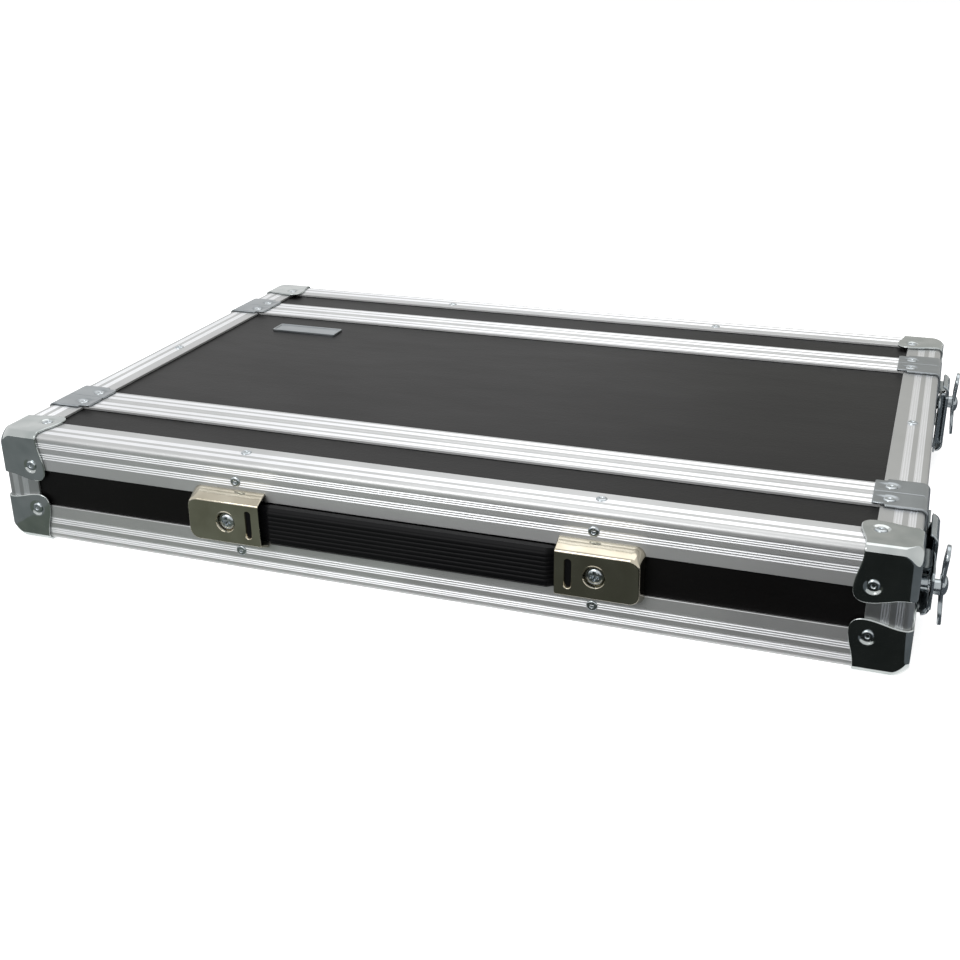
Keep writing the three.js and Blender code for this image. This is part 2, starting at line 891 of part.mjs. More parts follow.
const buildBadge = () => {
  const low = caseHeight - panelOuter + fit / 2;
  const { x, y } = badgeCentre;
  add(
    model,
    "blank_nameplate",
    block(
      x - badgeSize.x / 2,
      x + badgeSize.x / 2,
      y - badgeSize.y / 2,
      y + badgeSize.y / 2,
      low,
      low + badgeSize.z,
    ),
    looks.chrome,
  );
};

buildSleeve();
buildRails();
ends.forEach(buildLid);
buildHandle();
buildLatches();
buildBadge();

// The origin: the middle of the whole footprint, handle included, at the level it rests on.
const frontmost = -capHeight;
const rearmost = caseDepth + cornerProud;
model.position.set(0, -(frontmost + rearmost) / 2, cornerProud);

export default model;
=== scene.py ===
# Shallow rack flight case with removable lids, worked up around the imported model.
import bpy, bmesh, json, math, mathutils
import numpy as np
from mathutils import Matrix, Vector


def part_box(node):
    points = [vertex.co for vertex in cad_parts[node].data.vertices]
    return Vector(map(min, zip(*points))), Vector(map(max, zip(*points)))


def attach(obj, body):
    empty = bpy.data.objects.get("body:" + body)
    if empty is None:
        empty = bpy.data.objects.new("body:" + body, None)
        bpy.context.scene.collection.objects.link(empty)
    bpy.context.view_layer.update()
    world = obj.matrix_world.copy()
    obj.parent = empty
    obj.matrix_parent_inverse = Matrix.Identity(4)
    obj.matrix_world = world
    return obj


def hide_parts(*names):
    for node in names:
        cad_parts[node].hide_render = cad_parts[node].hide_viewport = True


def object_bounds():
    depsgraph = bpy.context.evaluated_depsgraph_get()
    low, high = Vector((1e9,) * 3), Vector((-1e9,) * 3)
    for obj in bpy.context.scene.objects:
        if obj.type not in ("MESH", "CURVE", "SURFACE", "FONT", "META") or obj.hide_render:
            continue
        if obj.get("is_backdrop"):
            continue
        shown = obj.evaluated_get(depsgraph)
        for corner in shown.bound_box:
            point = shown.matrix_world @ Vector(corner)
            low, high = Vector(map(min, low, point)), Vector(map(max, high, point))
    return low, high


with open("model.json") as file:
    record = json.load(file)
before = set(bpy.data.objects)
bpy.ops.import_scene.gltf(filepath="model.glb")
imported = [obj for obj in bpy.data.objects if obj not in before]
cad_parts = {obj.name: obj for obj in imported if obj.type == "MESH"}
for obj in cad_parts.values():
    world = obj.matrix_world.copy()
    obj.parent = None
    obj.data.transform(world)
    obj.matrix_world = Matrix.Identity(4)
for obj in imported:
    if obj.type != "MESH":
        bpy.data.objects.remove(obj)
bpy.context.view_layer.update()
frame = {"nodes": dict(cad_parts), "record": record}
nodes = frame["nodes"]

# the case's own frame, in millimetres: x from the middle, y from the edging's front, z from its underside
edgingLow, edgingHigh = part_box("front_lid_frame_edging")
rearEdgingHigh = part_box("rear_lid_frame_edging")[1]
caseCorner = np.array([0.0, edgingLow.y, edgingLow.z])
caseSize = {
    "halfWidth": edgingHigh.x * 1000,
    "depth": (rearEdgingHigh.y - edgingLow.y) * 1000,
    "height": (edgingHigh.z - edgingLow.z) * 1000,
    "split": 66.0,  # from each face to its split
    "edgeRound": 2.5,
    "steel": 1.2,
    "cornerGap": 0.2,  # between a steel piece and the edging under it
    "ballCentre": 12.0,  # from each of a corner's three faces
    "rivetHeight": 0.75,
    "rivetSeat": (3.3, 4.7),  # the pressed seat's floor and rim
}
halfWidth, depth, height = caseSize["halfWidth"], caseSize["depth"], caseSize["height"]
halfHeight = height / 2
ends = {"front": (0.0, 1), "rear": (depth, -1)}  # where each face is, and which way is in
sides = {"left": -1, "right": 1}
levels = {"bottom": 0, "top": 1}
longEdges = [(side, level) for side in sides for level in levels]
bothEnds = [(0, "first"), (0, "last")]


# materials
def linear(hexColour):
    # An sRGB hex colour as linear values.
    channels = [int(hexColour[i:i + 2], 16) / 255 for i in (1, 3, 5)]
    return [c / 12.92 if c <= 0.04045 else ((c + 0.055) / 1.055) ** 2.4 for c in channels] + [1.0]


def addNode(material, kind, settings=None, links=None):
    tree = material.node_tree
    node = tree.nodes.new("ShaderNode" + kind)
    for key, value in (settings or {}).items():
        if key in node.inputs:
            node.inputs[key].default_value = value
        else:
            setattr(node, key, value)
    for key, source in (links or {}).items():
        tree.links.new(source, node.inputs[key])
    return node


def clearNodes(block):
    block.use_nodes = True
    block.node_tree.nodes.clear()
    return block


def newMaterial(name, settings):
    material = clearNodes(bpy.data.materials.new(name))
    shader = addNode(material, "BsdfPrincipled", settings)
    addNode(material, "OutputMaterial", {}, {"Surface": shader.outputs[0]})
    return material, shader


def texture(material, kind, place, size, settings):
    # A texture on coordinates in metres, whose features are about that many millimetres.
    scaled = {"Scale": 1000.0 / size, **settings}
    return addNode(material, "Tex" + kind, scaled, {"Vector": place}).outputs[0]


def rampColours(material, factor, stops):
    ramp = addNode(material, "ValToRGB", {}, {"Fac": factor})
    for element, (place, colour) in zip(ramp.color_ramp.elements, stops):
        element.position = place
        element.color = linear(colour)
    return ramp.outputs[0]


def mapRange(material, value, low, high):
    return addNode(material, "MapRange", {"To Min": low, "To Max": high}, {"Value": value}).outputs[0]


def larger(material, first, second):
    return addNode(material, "Math", {"operation": "MAXIMUM"}, {0: first, 1: second}).outputs[0]


def bumpFrom(material, heightSocket, strength, distance, normal=None):
    links = {"Height": heightSocket}
    if normal is not None:
        links["Normal"] = normal
    return addNode(material, "Bump", {"Strength": strength, "Distance": distance}, links).outputs[0]


def driveShader(material, shader, colour, roughness, normal):
    for socket, source in (("Base Color", colour), ("Roughness", roughness), ("Normal", normal)):
        material.node_tree.links.new(source, shader.inputs[socket])
    return material


def anodisedAluminium():
    # extruded, etched and clear anodised: pale satin with faint die lines along the length, whose gleam spreads
    # across the run, and flutes painted lighter: a painted highlight for the light that their ribs catch
    satin = {"Metallic": 1.0, "Anisotropic": 0.6, "Anisotropic Rotation": 0.25}
    material, shader = newMaterial("anodised_aluminium", satin)
    uv = addNode(material, "UVMap").outputs[0]
    grainRun = addNode(material, "Tangent", {"direction_type": "UV_MAP", "uv_map": "run"}).outputs[0]
    material.node_tree.links.new(grainRun, shader.inputs["Tangent"])
    stretched = addNode(material, "Mapping", {"Scale": (0.02, 1.0, 1.0)}, {"Vector": uv}).outputs[0]
    lines = texture(material, "Noise", stretched, 0.5, {"Detail": 3.0})
    place = addNode(material, "TexCoord").outputs["Object"]
    patches = texture(material, "Noise", place, 35, {"Detail": 4.0})
    plain = rampColours(material, patches, [(0.3, "#BBBCBC"), (0.7, "#C3C4C4")])
    # painted highlight: the fluted bands take this lighter colour than the plain faces
    paintedFluteHighlight = rampColours(material, patches, [(0.3, "#E6E7E9"), (0.7, "#EDEEF0")])
    fluted = addNode(material, "Attribute", {"attribute_name": "fluted"}).outputs["Fac"]
    colour = addNode(material, "Mix", {"data_type": "RGBA"}, {0: fluted, 6: plain, 7: paintedFluteHighlight}).outputs[2]
    return driveShader(material, shader, colour, mapRange(material, lines, 0.40, 0.46),
                       bumpFrom(material, lines, 0.12, 0.00002))


def platedSteel(name, darkHex, lightHex, roughLow, roughHigh, waveMm, waveDepth):
    # pressed sheet, polished and plated: mirror-like with a slow waviness left by the press
    material, shader = newMaterial(name, {"Metallic": 1.0})
    place = addNode(material, "TexCoord").outputs["Object"]
    waves = texture(material, "Noise", place, waveMm, {"Detail": 1.5})
    grain = texture(material, "Noise", place, 0.6, {"Detail": 5.0})
    colour = rampColours(material, waves, [(0.3, darkHex), (0.7, lightHex)])
    return driveShader(material, shader, colour, mapRange(material, grain, roughLow, roughHigh),
                       bumpFrom(material, waves, 0.6, waveDepth))


def laminatedPlywood():
    # black plastic laminate with a fine hair-cell emboss, a soft sheen and a slightly uneven lay
    material, shader = newMaterial("black_laminate_on_plywood", {"IOR": 1.27})
    place = addNode(material, "TexCoord").outputs["Object"]
    cells = texture(material, "Voronoi", place, 1.4, {"feature": "SMOOTH_F1"})
    long = addNode(material, "Mapping", {"Scale": (0.35, 1.0, 1.0)}, {"Vector": place}).outputs[0]
    drifts = texture(material, "Noise", long, 28, {"Detail": 5.0, "Roughness": 0.6})
    colour = rampColours(material, drifts, [(0.25, "#050404"), (0.75, "#090808")])
    slow = bumpFrom(material, drifts, 0.5, 0.0004)
    return driveShader(material, shader, colour, mapRange(material, drifts, 0.38, 0.50),
                       bumpFrom(material, cells, 0.35, 0.00012, slow))


def grainyFinish(name, ior, kind, size, settings, stops, rough, bump):
    # One texture drives a finish's colour, its roughness and its surface.
    material, shader = newMaterial(name, {"IOR": ior})
    field = texture(material, kind, addNode(material, "TexCoord").outputs["Object"], size, settings)
    return driveShader(material, shader, rampColours(material, field, stops), mapRange(material, field, *rough),
                       bumpFrom(material, field, *bump))


looks = {
    "aluminium": anodisedAluminium(),
    "corner": platedSteel("nickel_plated_ball_corner", "#A9AFAE", "#BDC1C0", 0.06, 0.14, 11, 0.00025),
    "clip": platedSteel("satin_nickel_clip", "#8F9497", "#9CA1A4", 0.26, 0.36, 16, 0.0003),
    "cap": platedSteel("warm_nickel_handle_cap", "#B4AD9C", "#C6C0B0", 0.06, 0.13, 14, 0.0003),
    "latch": platedSteel("bright_zinc_latch", "#99A0A4", "#A6ADB0", 0.14, 0.24, 12, 0.0004),
    "fastener": platedSteel("zinc_plated_fastener", "#A9B0B4", "#C2C7CA", 0.12, 0.24, 3, 0.0001),
    "laminate": laminatedPlywood(),
    # moulded black rubber: matt, a little darker in its hollows
    "rubber": grainyFinish("moulded_black_rubber", 1.24, "Noise", 0.7, {"Detail": 4.0},
                           [(0.3, "#050507"), (0.8, "#0A0A0C")], (0.42, 0.56), (0.3, 0.00008)),
    # cut polyurethane foam: dark grey, quite matt, pitted all over
    "foam": grainyFinish("open_cell_foam", 1.45, "Voronoi", 1.6, {},
                         [(0.1, "#17181A"), (0.6, "#2C2D30")], (0.88, 0.98), (0.8, 0.0004)),
    # black polyester powder coat on steel: an orange-peel skin about 2 mm across
    "powder": grainyFinish("black_powder_coat", 1.5, "Noise", 2.0, {"Detail": 2.0},
                           [(0.3, "#151515"), (0.7, "#1E1E1E")], (0.45, 0.6), (0.4, 0.0001)),
}
print("materials made")


# mesh helpers
def addObject(name, data):
    thing = bpy.data.objects.new(name, data)
    bpy.context.scene.collection.objects.link(thing)
    return thing


def fullTurn(count):
    return np.linspace(0, 2 * math.pi, count, endpoint=False)


def gridOf(x, y, z):
    # A grid of points, where each coordinate is a number, a row, a column or a whole grid.
    return np.stack(np.broadcast_arrays(x, y, z), -1)


def gridFaces(rows, columns, wrapRows, wrapColumns, start=0):
    # Quads between neighbouring points of a grid, stored row by row.
    i = np.arange(rows if wrapRows else rows - 1)
    j = np.arange(columns if wrapColumns else columns - 1)
    i, j = np.meshgrid(i, j, indexing="ij")
    nextRow, nextColumn = (i + 1) % rows, (j + 1) % columns
    corners = [i * columns + j, nextRow * columns + j, nextRow * columns + nextColumn, i * columns + nextColumn]
    return start + np.stack(corners, -1).reshape(-1, 4)


def makePiece(name, patches, body, material, replaces=(), merge=0.002, sharp=32, caps=(), fluted=None):
    # One mesh from several grids of points in the case's frame. Each patch is (grid, wrapRows, wrapColumns), and caps
    # name the end rows that are closed with one face. fluted, where given, marks the columns in a fluted band.
    points, faces, uvs, start = [], [], [], 0
    for number, (grid, wrapRows, wrapColumns) in enumerate(patches):
        rows, columns = grid.shape[:2]
        along = np.concatenate([[0], np.cumsum(np.linalg.norm(np.diff(grid[:, 0], axis=0), axis=1))])
        across = np.concatenate([[0], np.cumsum(np.linalg.norm(np.diff(grid[0], axis=0), axis=1))])
        uvs.append(np.stack(np.broadcast_arrays(along[:, None], across[None, :]), -1).reshape(-1, 2))
        points.append(grid.reshape(-1, 3))
        faces += gridFaces(rows, columns, wrapRows, wrapColumns, start).tolist()
        for which, end in caps:
            if which == number:
                loop = start + np.arange(columns) + (0 if end == "first" else (rows - 1) * columns)
                faces.append(loop.tolist() if end == "first" else loop[::-1].tolist())
        start += rows * columns
    points = np.concatenate(points) * 0.001 + caseCorner
    mesh = bpy.data.meshes.new(name)
    mesh.from_pydata(points.tolist(), [], faces)
    layer = mesh.uv_layers.new(name="run")
    loopPoints = np.zeros(len(mesh.loops), np.int32)
    mesh.loops.foreach_get("vertex_index", loopPoints)
    layer.data.foreach_set("uv", (np.concatenate(uvs)[loopPoints] * 0.001).astype(np.float32).ravel())
    if fluted is not None:
        marks = mesh.attributes.new("fluted", "FLOAT", "POINT")
        marks.data.foreach_set("value", np.tile(fluted, len(points) // len(fluted)).astype(np.float32))
    edit = bmesh.new()
    edit.from_mesh(mesh)
    bmesh.ops.remove_doubles(edit, verts=edit.verts, dist=merge * 0.001)
    bmesh.ops.dissolve_degenerate(edit, dist=1e-7, edges=edit.edges)
    if all(wrapColumns for grid, wrapRows, wrapColumns in patches):  # a closed body: its poles and ends are filled
        bmesh.ops.holes_fill(edit, edges=[e for e in edit.edges if e.is_boundary], sides=0)
    bmesh.ops.recalc_face_normals(edit, faces=edit.faces)
    edit.to_mesh(mesh)
    edit.free()
    mesh.shade_smooth()
    mesh.set_sharp_from_angle(angle=math.radians(sharp))
    piece = addObject(name, mesh)
    mesh.materials.append(material)
    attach(piece, body)
    if replaces:
        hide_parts(*replaces)
    return piece


def addWall(piece, thickness):
    wall = piece.modifiers.new("wall", "SOLIDIFY")
    wall.thickness = thickness * 0.001
    wall.offset = -1
    wall.use_even_offset = True


def smoothStep(x, low, high):
    t = np.clip((x - low) / (high - low), 0, 1)
    return t * t * (3 - 2 * t)


def roundCase(points):
    # Draws points that stand outside the case's rounded long edges back to their radius.
    radius = caseSize["edgeRound"]
    centre = np.array([0, 0, halfHeight])
    half = np.array([halfWidth - radius, 1e6, halfHeight - radius])
    local = points - centre
    inner = np.clip(local, -half, half)
    away = local - inner
    length = np.linalg.norm(away, axis=-1, keepdims=True)
    scale = np.where(length > radius, radius / np.maximum(length, 1e-9), 1.0)
    return centre + inner + away * scale


def seatUnderBalls(points, radius):
    # Pulls points near each corner of the case inside a ball centred the same way in from its three faces.
    centre = caseSize["ballCentre"]
    x, y, z = np.moveaxis(points, -1, 0)
    away = centre - gridOf(halfWidth - np.abs(x), np.minimum(y, depth - y), np.minimum(z, height - z))
    length = np.linalg.norm(away, axis=-1)
    inCorner = (away > 0).all(-1) & (length > radius)
    toX, toY, toZ = np.moveaxis(centre - away * (radius / np.maximum(length, 1e-9))[..., None], -1, 0)
    moved = gridOf(np.sign(x) * (halfWidth - toX), np.where(y < depth / 2, toY, depth - toY),
                   np.where(z < halfHeight, toZ, height - toZ))
    return np.where(inCorner[..., None], moved, points)


def rivetSeat(x, y, atX, atY):
    # how deep a steel face is pressed in round a rivet, so that the head ends level with it
    return caseSize["rivetHeight"] * (1 - smoothStep(np.hypot(x - atX, y - atY), *caseSize["rivetSeat"]))


# edging: an angle extrusion with two fluted bands on each leg
edging = {"leg": 22.0, "wall": 1.5, "round": 2.5, "grooveDepth": 0.2, "grooves": 3,
          "bands": ((4.0, 7.7), (10.6, 14.7)), "stripWidth": 14.5, "stripBands": ((3.1, 6.7), (9.0, 12.4)),
          "seam": 0.2, "tongue": 3.6, "tongueThickness": 2.2, "closingDepth": 10.6, "runGap": 0.3, "underBall": 16.5}


def flutedFace(bands, start, stop):
    # Distances along a leg and how deep its face lies there: each band is a row of round-bottomed grooves,
    # so the depth follows the upper half of a sine wave.
    pieces = [np.array([start])]
    for low, high in bands:
        grooves = np.linspace(low, high, edging["grooves"] * 6 + 1)
        pieces.append(np.concatenate([[low - 0.1], grooves, [high + 0.1]]))  # the outer two end the band's painted highlight
    pieces.append(np.array([stop]))
    distance = np.concatenate(pieces)
    sunk = np.zeros_like(distance)
    for low, high in bands:
        inside = (distance >= low) & (distance <= high)
        phase = (distance - low) / (high - low) * edging["grooves"] * math.pi
        sunk = np.where(inside, edging["grooveDepth"] * np.abs(np.sin(phase)), sunk)
    return distance, sunk


def angleProfile():
    # The section as [along one leg, along the other], corner at the origin.
    radius, leg, wall = edging["round"], edging["leg"], edging["wall"]
    distance, sunk = flutedFace(edging["bands"], radius, leg - 0.25)
    turn = np.linspace(0, math.pi / 2, 8)[1:-1]
    arc = np.stack([radius * (1 - np.cos(turn)), radius * (1 - np.sin(turn))], -1)
    faceA = np.stack([distance, sunk], -1)
    faceB = faceA[::-1, ::-1]
    tipA = np.array([[leg, 0.25], [leg, wall]])
    tipB = np.array([[wall, leg], [0.25, leg]])
    return np.concatenate([[[wall, wall]], tipB, faceB, arc, faceA, tipA])


def inBands(profile, bands):
    # 1 for each point of a section whose face lies in a fluted band, measured along whichever leg it is on.
    along, depthHere = np.max(np.abs(profile), 1), np.min(np.abs(profile), 1)
    onFace = depthHere < edging["grooveDepth"] + 0.05
    return np.any([(along >= low - 0.01) & (along <= high + 0.01) & onFace for low, high in bands], 0).astype(float)


def ringStations(length):
    near = np.array([0, 0.5, 1, 1.5, 2, 2.5, 3.2, 5, 7, 9, 11, 13, 15, 17, 19, 21, 24]) / length
    return np.concatenate([near, 1 - near[::-1]])[:-1]


def mitredRing(profile):
    # A section of [distance along y, distance in from the outer faces] carried round the case's rectangle,
    # each side a straight blend between its two mitred corners.
    turns = np.array([[1, 1], [-1, 1], [-1, -1], [1, -1]], float)
    inward = profile[:, 1]
    corners = gridOf(turns[:, None, 0] * (halfWidth - inward), profile[:, 0],
                     halfHeight + turns[:, None, 1] * (halfHeight - inward))
    rows = []
    for k in range(4):
        t = ringStations((2 * halfWidth, height)[k % 2])[:, None, None]
        rows.append(corners[k] * (1 - t) + corners[(k + 1) % 4] * t)
    return np.concatenate(rows)


def placeEnd(points, end, origin=0.0):
    # Moves a piece drawn on the front end to either end: y is measured in from that end's face.
    face, way = ends[end]
    moved = points.copy()
    moved[..., 1] = face + way * (origin + points[..., 1])
    return moved


def placeEdge(points, side, level):
    # Moves a piece drawn at the corner line x = 0, z = 0, with the case towards +x and +z, to one of the long edges.
    moved = points.copy()
    moved[..., 0] = sides[side] * (halfWidth - points[..., 0])
    moved[..., 2] = height - points[..., 2] if levels[level] else points[..., 2]
    return moved


def straightRun(profile, start, stop):
    # The section carried straight along y.
    stations = np.array([start, start + 0.01, stop - 0.01, stop])
    return gridOf(profile[:, 0], stations[:, None], profile[:, 1])


strip, runGap = edging["stripWidth"], edging["runGap"]
angleBands = inBands(angleProfile(), edging["bands"])
for end in ends:
    ring = seatUnderBalls(roundCase(placeEnd(mitredRing(angleProfile()), end)), edging["underBall"])
    makePiece(f"{end}_lid_face_edging", [(ring, True, True)], f"{end}_lid", looks["aluminium"],
              [f"{end}_lid_frame_edging"], fluted=angleBands)
    for side, level in longEdges:
        run = straightRun(angleProfile(), edging["leg"] + runGap, caseSize["split"] - strip - runGap)
        grid = placeEdge(placeEnd(run, end), side, level)
        makePiece(f"{end}_lid_side_edging_{level}_{side}", [(grid, False, True)], f"{end}_lid",
                  looks["aluminium"], [f"{end}_lid_edge_{level}_{side}"], caps=bothEnds, fluted=angleBands)
for side, level in longEdges:
    run = straightRun(angleProfile(), caseSize["split"] + strip + runGap,
                      depth - caseSize["split"] - strip - runGap)
    makePiece(f"sleeve_edging_{level}_{side}", [(placeEdge(run, side, level), False, True)], "sleeve",
              looks["aluminium"], [f"body_edge_{level}_{side}"], caps=bothEnds, fluted=angleBands)


def closingProfile(tongue):
    # The closing profile's section as [away from the split, in from the outer face]: a channel over the panel's
    # end, with either a tongue across the split or the groove that it seats in.
    wall, seam = edging["wall"], edging["seam"]
    inner = edging["closingDepth"]
    middle = inner / 2
    floor = seam + wall
    halfTongue = edging["tongueThickness"] / 2
    distance, sunk = flutedFace(edging["stripBands"], seam + 0.4, strip - 0.25)
    outer = np.stack([distance, sunk], -1)
    shared = [[strip, 0.25], [strip, wall]]
    if tongue:
        back = [[floor, wall], [floor, inner - wall], [strip, inner - wall], [strip, inner], [seam, inner],
                [seam, middle + halfTongue], [-edging["tongue"] + 0.4, middle + halfTongue],
                [-edging["tongue"], middle + halfTongue - 0.4], [-edging["tongue"], middle - halfTongue + 0.4],
                [-edging["tongue"] + 0.4, middle - halfTongue], [seam, middle - halfTongue], [seam, 0.4]]
    else:
        groove = halfTongue + 0.3
        bottom = edging["tongue"] + 2 * seam
        back = [[floor, wall], [floor, middle - groove - wall], [seam + bottom + wall, middle - groove - wall],
                [seam + bottom + wall, middle + groove + wall], [floor, middle + groove + wall],
                [floor, inner - wall], [strip, inner - wall], [strip, inner], [seam, inner],
                [seam, middle + groove], [seam + bottom, middle + groove], [seam + bottom, middle - groove],
                [seam, middle - groove], [seam, 0.4]]
    return np.concatenate([outer, shared, back])


for end in ends:
    for tongue, body, node in ((True, f"{end}_lid", f"{end}_lid_closing_frame"),
                               (False, "sleeve", f"body_{end}_frame")):
        profile = closingProfile(tongue)
        profile[:, 0] *= -1 if tongue else 1
        ring = roundCase(placeEnd(mitredRing(profile), end, caseSize["split"]))
        makePiece(f"{node}_profile", [(ring, True, True)], body, looks["aluminium"], [node],
                  fluted=inBands(profile, edging["stripBands"]))
print("edging made")


# ball corners: pressed steel caps with three lobed flaps
corner = {"reach": 25.4, "lobe": 28.8, "lobeRadius": 6.2, "ballRadius": 18.0, "edgeRound": 3.9, "rivet": 19.5,
          "steps": 40}


def flapEdge(t):
    # How far a flap reaches in x where y is t of the way to its lobe: straight and slightly flared, then a round lobe.
    lobe, radius = corner["lobe"], corner["lobeRadius"]
    y = t * (lobe - radius * (1 - math.sqrt(0.5)))
    flare = corner["reach"] + (lobe - corner["reach"]) * smoothStep(y, 4, lobe - radius - 1)
    curve = lobe - radius + np.sqrt(np.maximum(radius ** 2 - np.maximum(y - (lobe - radius), 0) ** 2, 0))
    return np.minimum(flare, curve)


def ballCorner():
    # Three square grids on the faces of a box corner. Each point is drawn to the box's rounded edges, then to the
    # ball where it stands outside it, and given the flap's outline by stretching the rows and columns.
    offset = caseSize["cornerGap"] + caseSize["steel"]
    t = np.linspace(0, 1, corner["steps"])
    t = t ** 0.9
    u, v = np.meshgrid(t, t, indexing="ij")
    x = -offset + u * (flapEdge(v) + offset)
    y = -offset + v * (flapEdge(u) + offset)
    patches = []
    for turn in range(3):
        seat = rivetSeat(x, y, corner["rivet"], corner["rivet"])
        flat = np.stack([x, y, seat - offset], -1)
        points = np.roll(flat, turn, axis=-1)
        radius = corner["edgeRound"]
        inner = np.maximum(points, -offset + radius)
        away = points - inner
        length = np.linalg.norm(away, axis=-1, keepdims=True)
        points = inner + away * np.minimum(radius, length) / np.maximum(length, 1e-9)
        fromBall = points - caseSize["ballCentre"]
        reach = np.linalg.norm(fromBall, axis=-1)
        inCorner = (fromBall < 0).all(-1) & (reach > corner["ballRadius"])
        onBall = caseSize["ballCentre"] + fromBall * (corner["ballRadius"] / reach)[..., None]
        patches.append(np.where(inCorner[..., None], onBall, points))
    return patches


for end in ends:
    for side, level in longEdges:
        grids = [(placeEdge(placeEnd(grid, end), side, level), False, False) for grid in ballCorner()]
        cap = makePiece(f"{end}_ball_corner_{level}_{side}", grids, f"{end}_lid", looks["corner"],
                        [f"{end}_lid_corner_{level}_{side}"], merge=0.02, sharp=40)
        addWall(cap, caseSize["steel"])
print("ball corners made")


# clips over the split corners
clip = {"width": 17.3, "reach": 20.2, "tabReach": 26.3, "tabInset": 2.4, "round": 3.9, "rivetAcross": 18.0,
        "rivetAlong": 8.4, "sideRivet": 7.6, "tipRound": 1.2}


def cornerClip():
    # A strip bent round the case's edge: the path runs up one leg, round the bend and along the other, and each
    # station's two ends are narrowed to the tab's width near the tips.
    outer = caseSize["cornerGap"] + caseSize["steel"]
    radius, reach, tipRound = clip["round"], clip["reach"], clip["tipRound"]
    leg = np.concatenate([np.linspace(clip["tabReach"], clip["tabReach"] - tipRound, 5),
                          np.linspace(reach + 0.5, reach - 0.5, 5), np.linspace(reach - 1, radius - outer, 26)])
    bend = np.linspace(0, math.pi / 2, 9)[1:-1]
    centre = radius - outer
    path = np.concatenate([
        np.stack([leg, np.full_like(leg, -outer)], -1),
        np.stack([centre - radius * np.sin(bend), centre - radius * np.cos(bend)], -1),
        np.stack([np.full_like(leg, -outer), leg], -1)[::-1],
    ])
    distance = np.maximum(path[:, 0], path[:, 1])
    tab = smoothStep(distance, reach - 0.5, reach + 0.5)
    tip = np.clip((distance - (clip["tabReach"] - tipRound)) / tipRound, 0, 1)
    pull = tipRound * (1 - np.sqrt(np.maximum(1 - tip ** 2, 0)))
    low = edging["seam"] + pull
    high = clip["width"] - clip["tabInset"] * tab - pull
    across = np.linspace(0, 1, 24)
    grid = gridOf(path[:, :1], low[:, None] + (high - low)[:, None] * across, path[:, 1:])
    flat = radius - outer
    onTop, onSide = grid[..., 0] > flat, grid[..., 2] > flat
    grid[..., 2] += np.where(onTop, rivetSeat(grid[..., 0], grid[..., 1], clip["rivetAcross"], clip["rivetAlong"]), 0)
    grid[..., 0] += np.where(onSide, rivetSeat(grid[..., 2], grid[..., 1], clip["sideRivet"], clip["rivetAlong"]), 0)
    return grid


for end in ends:
    for way, part, body in ((-1, "lid", f"{end}_lid"), (1, "sleeve", "sleeve")):
        for side, level in longEdges:
            grid = placeEnd(cornerClip() * [1, way, 1], end, caseSize["split"])
            clipPiece = makePiece(f"{end}_{part}_clip_{level}_{side}", [(placeEdge(grid, side, level), False, False)],
                                  body, looks["clip"])
            addWall(clipPiece, caseSize["steel"])
print("clips made")


# rivets: domed heads with the drawn mandrel's open hole
rivet = {"radius": 3.1, "height": caseSize["rivetHeight"], "hole": 1.05, "holeDepth": 0.8, "segments": 20,
         "frontAlong": 103.0, "frontTop": 14.5, "frontFace": 12.0, "sideTop": 12.0, "sideFace": 11.0}


def rivetHeads(places):
    # Each head is a profile spun about its normal: a domed rim that falls into the open hole.
    turn = fullTurn(rivet["segments"])
    spread = np.linspace(0, 1, 7)
    dome = np.stack([rivet["radius"] * np.cos(spread * math.pi * 0.32),
                     rivet["height"] * np.sin(spread * math.pi / 2)], -1)
    hole, top = rivet["hole"], rivet["height"]
    bottom = top - rivet["holeDepth"]
    inner = np.array([[hole + 0.25, top], [hole, top - 0.25], [hole * 0.9, bottom], [0.02, bottom]])
    base = np.array([[0.02, -0.35], [rivet["radius"], -0.35]])
    profile = np.concatenate([base, dome, inner])
    patches = []
    for place, normal in places:
        normal = np.array(normal, float)
        first = np.array([normal[1], normal[2], normal[0]])
        second = np.cross(normal, first)
        ring = np.cos(turn)[:, None] * first + np.sin(turn)[:, None] * second
        grid = np.array(place, float) + profile[:, 0, None, None] * ring + profile[:, 1, None, None] * normal
        patches.append((grid, False, True))
    return patches


def mirrorPlace(x, y, z, normal, end, side, level):
    point = placeEdge(placeEnd(np.array([x, y, z], float), end), side, level)
    flip = np.array([-sides[side], ends[end][1], -1 if levels[level] else 1], float)
    return point, np.array(normal, float) * flip


split = caseSize["split"]
proud = caseSize["cornerGap"] + caseSize["steel"] - caseSize["rivetHeight"]
for end in ends:
    lidRivets, sleeveRivets = [], []
    for side, level in longEdges:
        at = corner["rivet"]
        lidRivets += [mirrorPlace(at, at, -proud, (0, 0, -1), end, side, level),
                      mirrorPlace(at, -proud, at, (0, -1, 0), end, side, level),
                      mirrorPlace(-proud, at, at, (-1, 0, 0), end, side, level)]
        for way, places in ((-1, lidRivets), (1, sleeveRivets)):
            y = split + way * clip["rivetAlong"]
            places += [mirrorPlace(clip["rivetAcross"], y, -proud, (0, 0, -1), end, side, level),
                       mirrorPlace(-proud, y, clip["sideRivet"], (-1, 0, 0), end, side, level)]
        across = halfWidth - rivet["frontAlong"]
        lidRivets += [mirrorPlace(across, rivet["frontTop"], 0, (0, 0, -1), end, side, level),
                      mirrorPlace(across, 0, rivet["frontFace"], (0, -1, 0), end, side, level)]
        if end == "front":
            sleeveRivets += [mirrorPlace(rivet["sideTop"], depth / 2, 0, (0, 0, -1), end, side, level),
                             mirrorPlace(0, depth / 2, rivet["sideFace"], (-1, 0, 0), end, side, level)]
    makePiece(f"{end}_lid_rivets", rivetHeads(lidRivets), f"{end}_lid", looks["fastener"], sharp=50)
    makePiece(f"{end}_sleeve_rivets", rivetHeads(sleeveRivets), "sleeve", looks["fastener"], sharp=50)
print("rivets made")


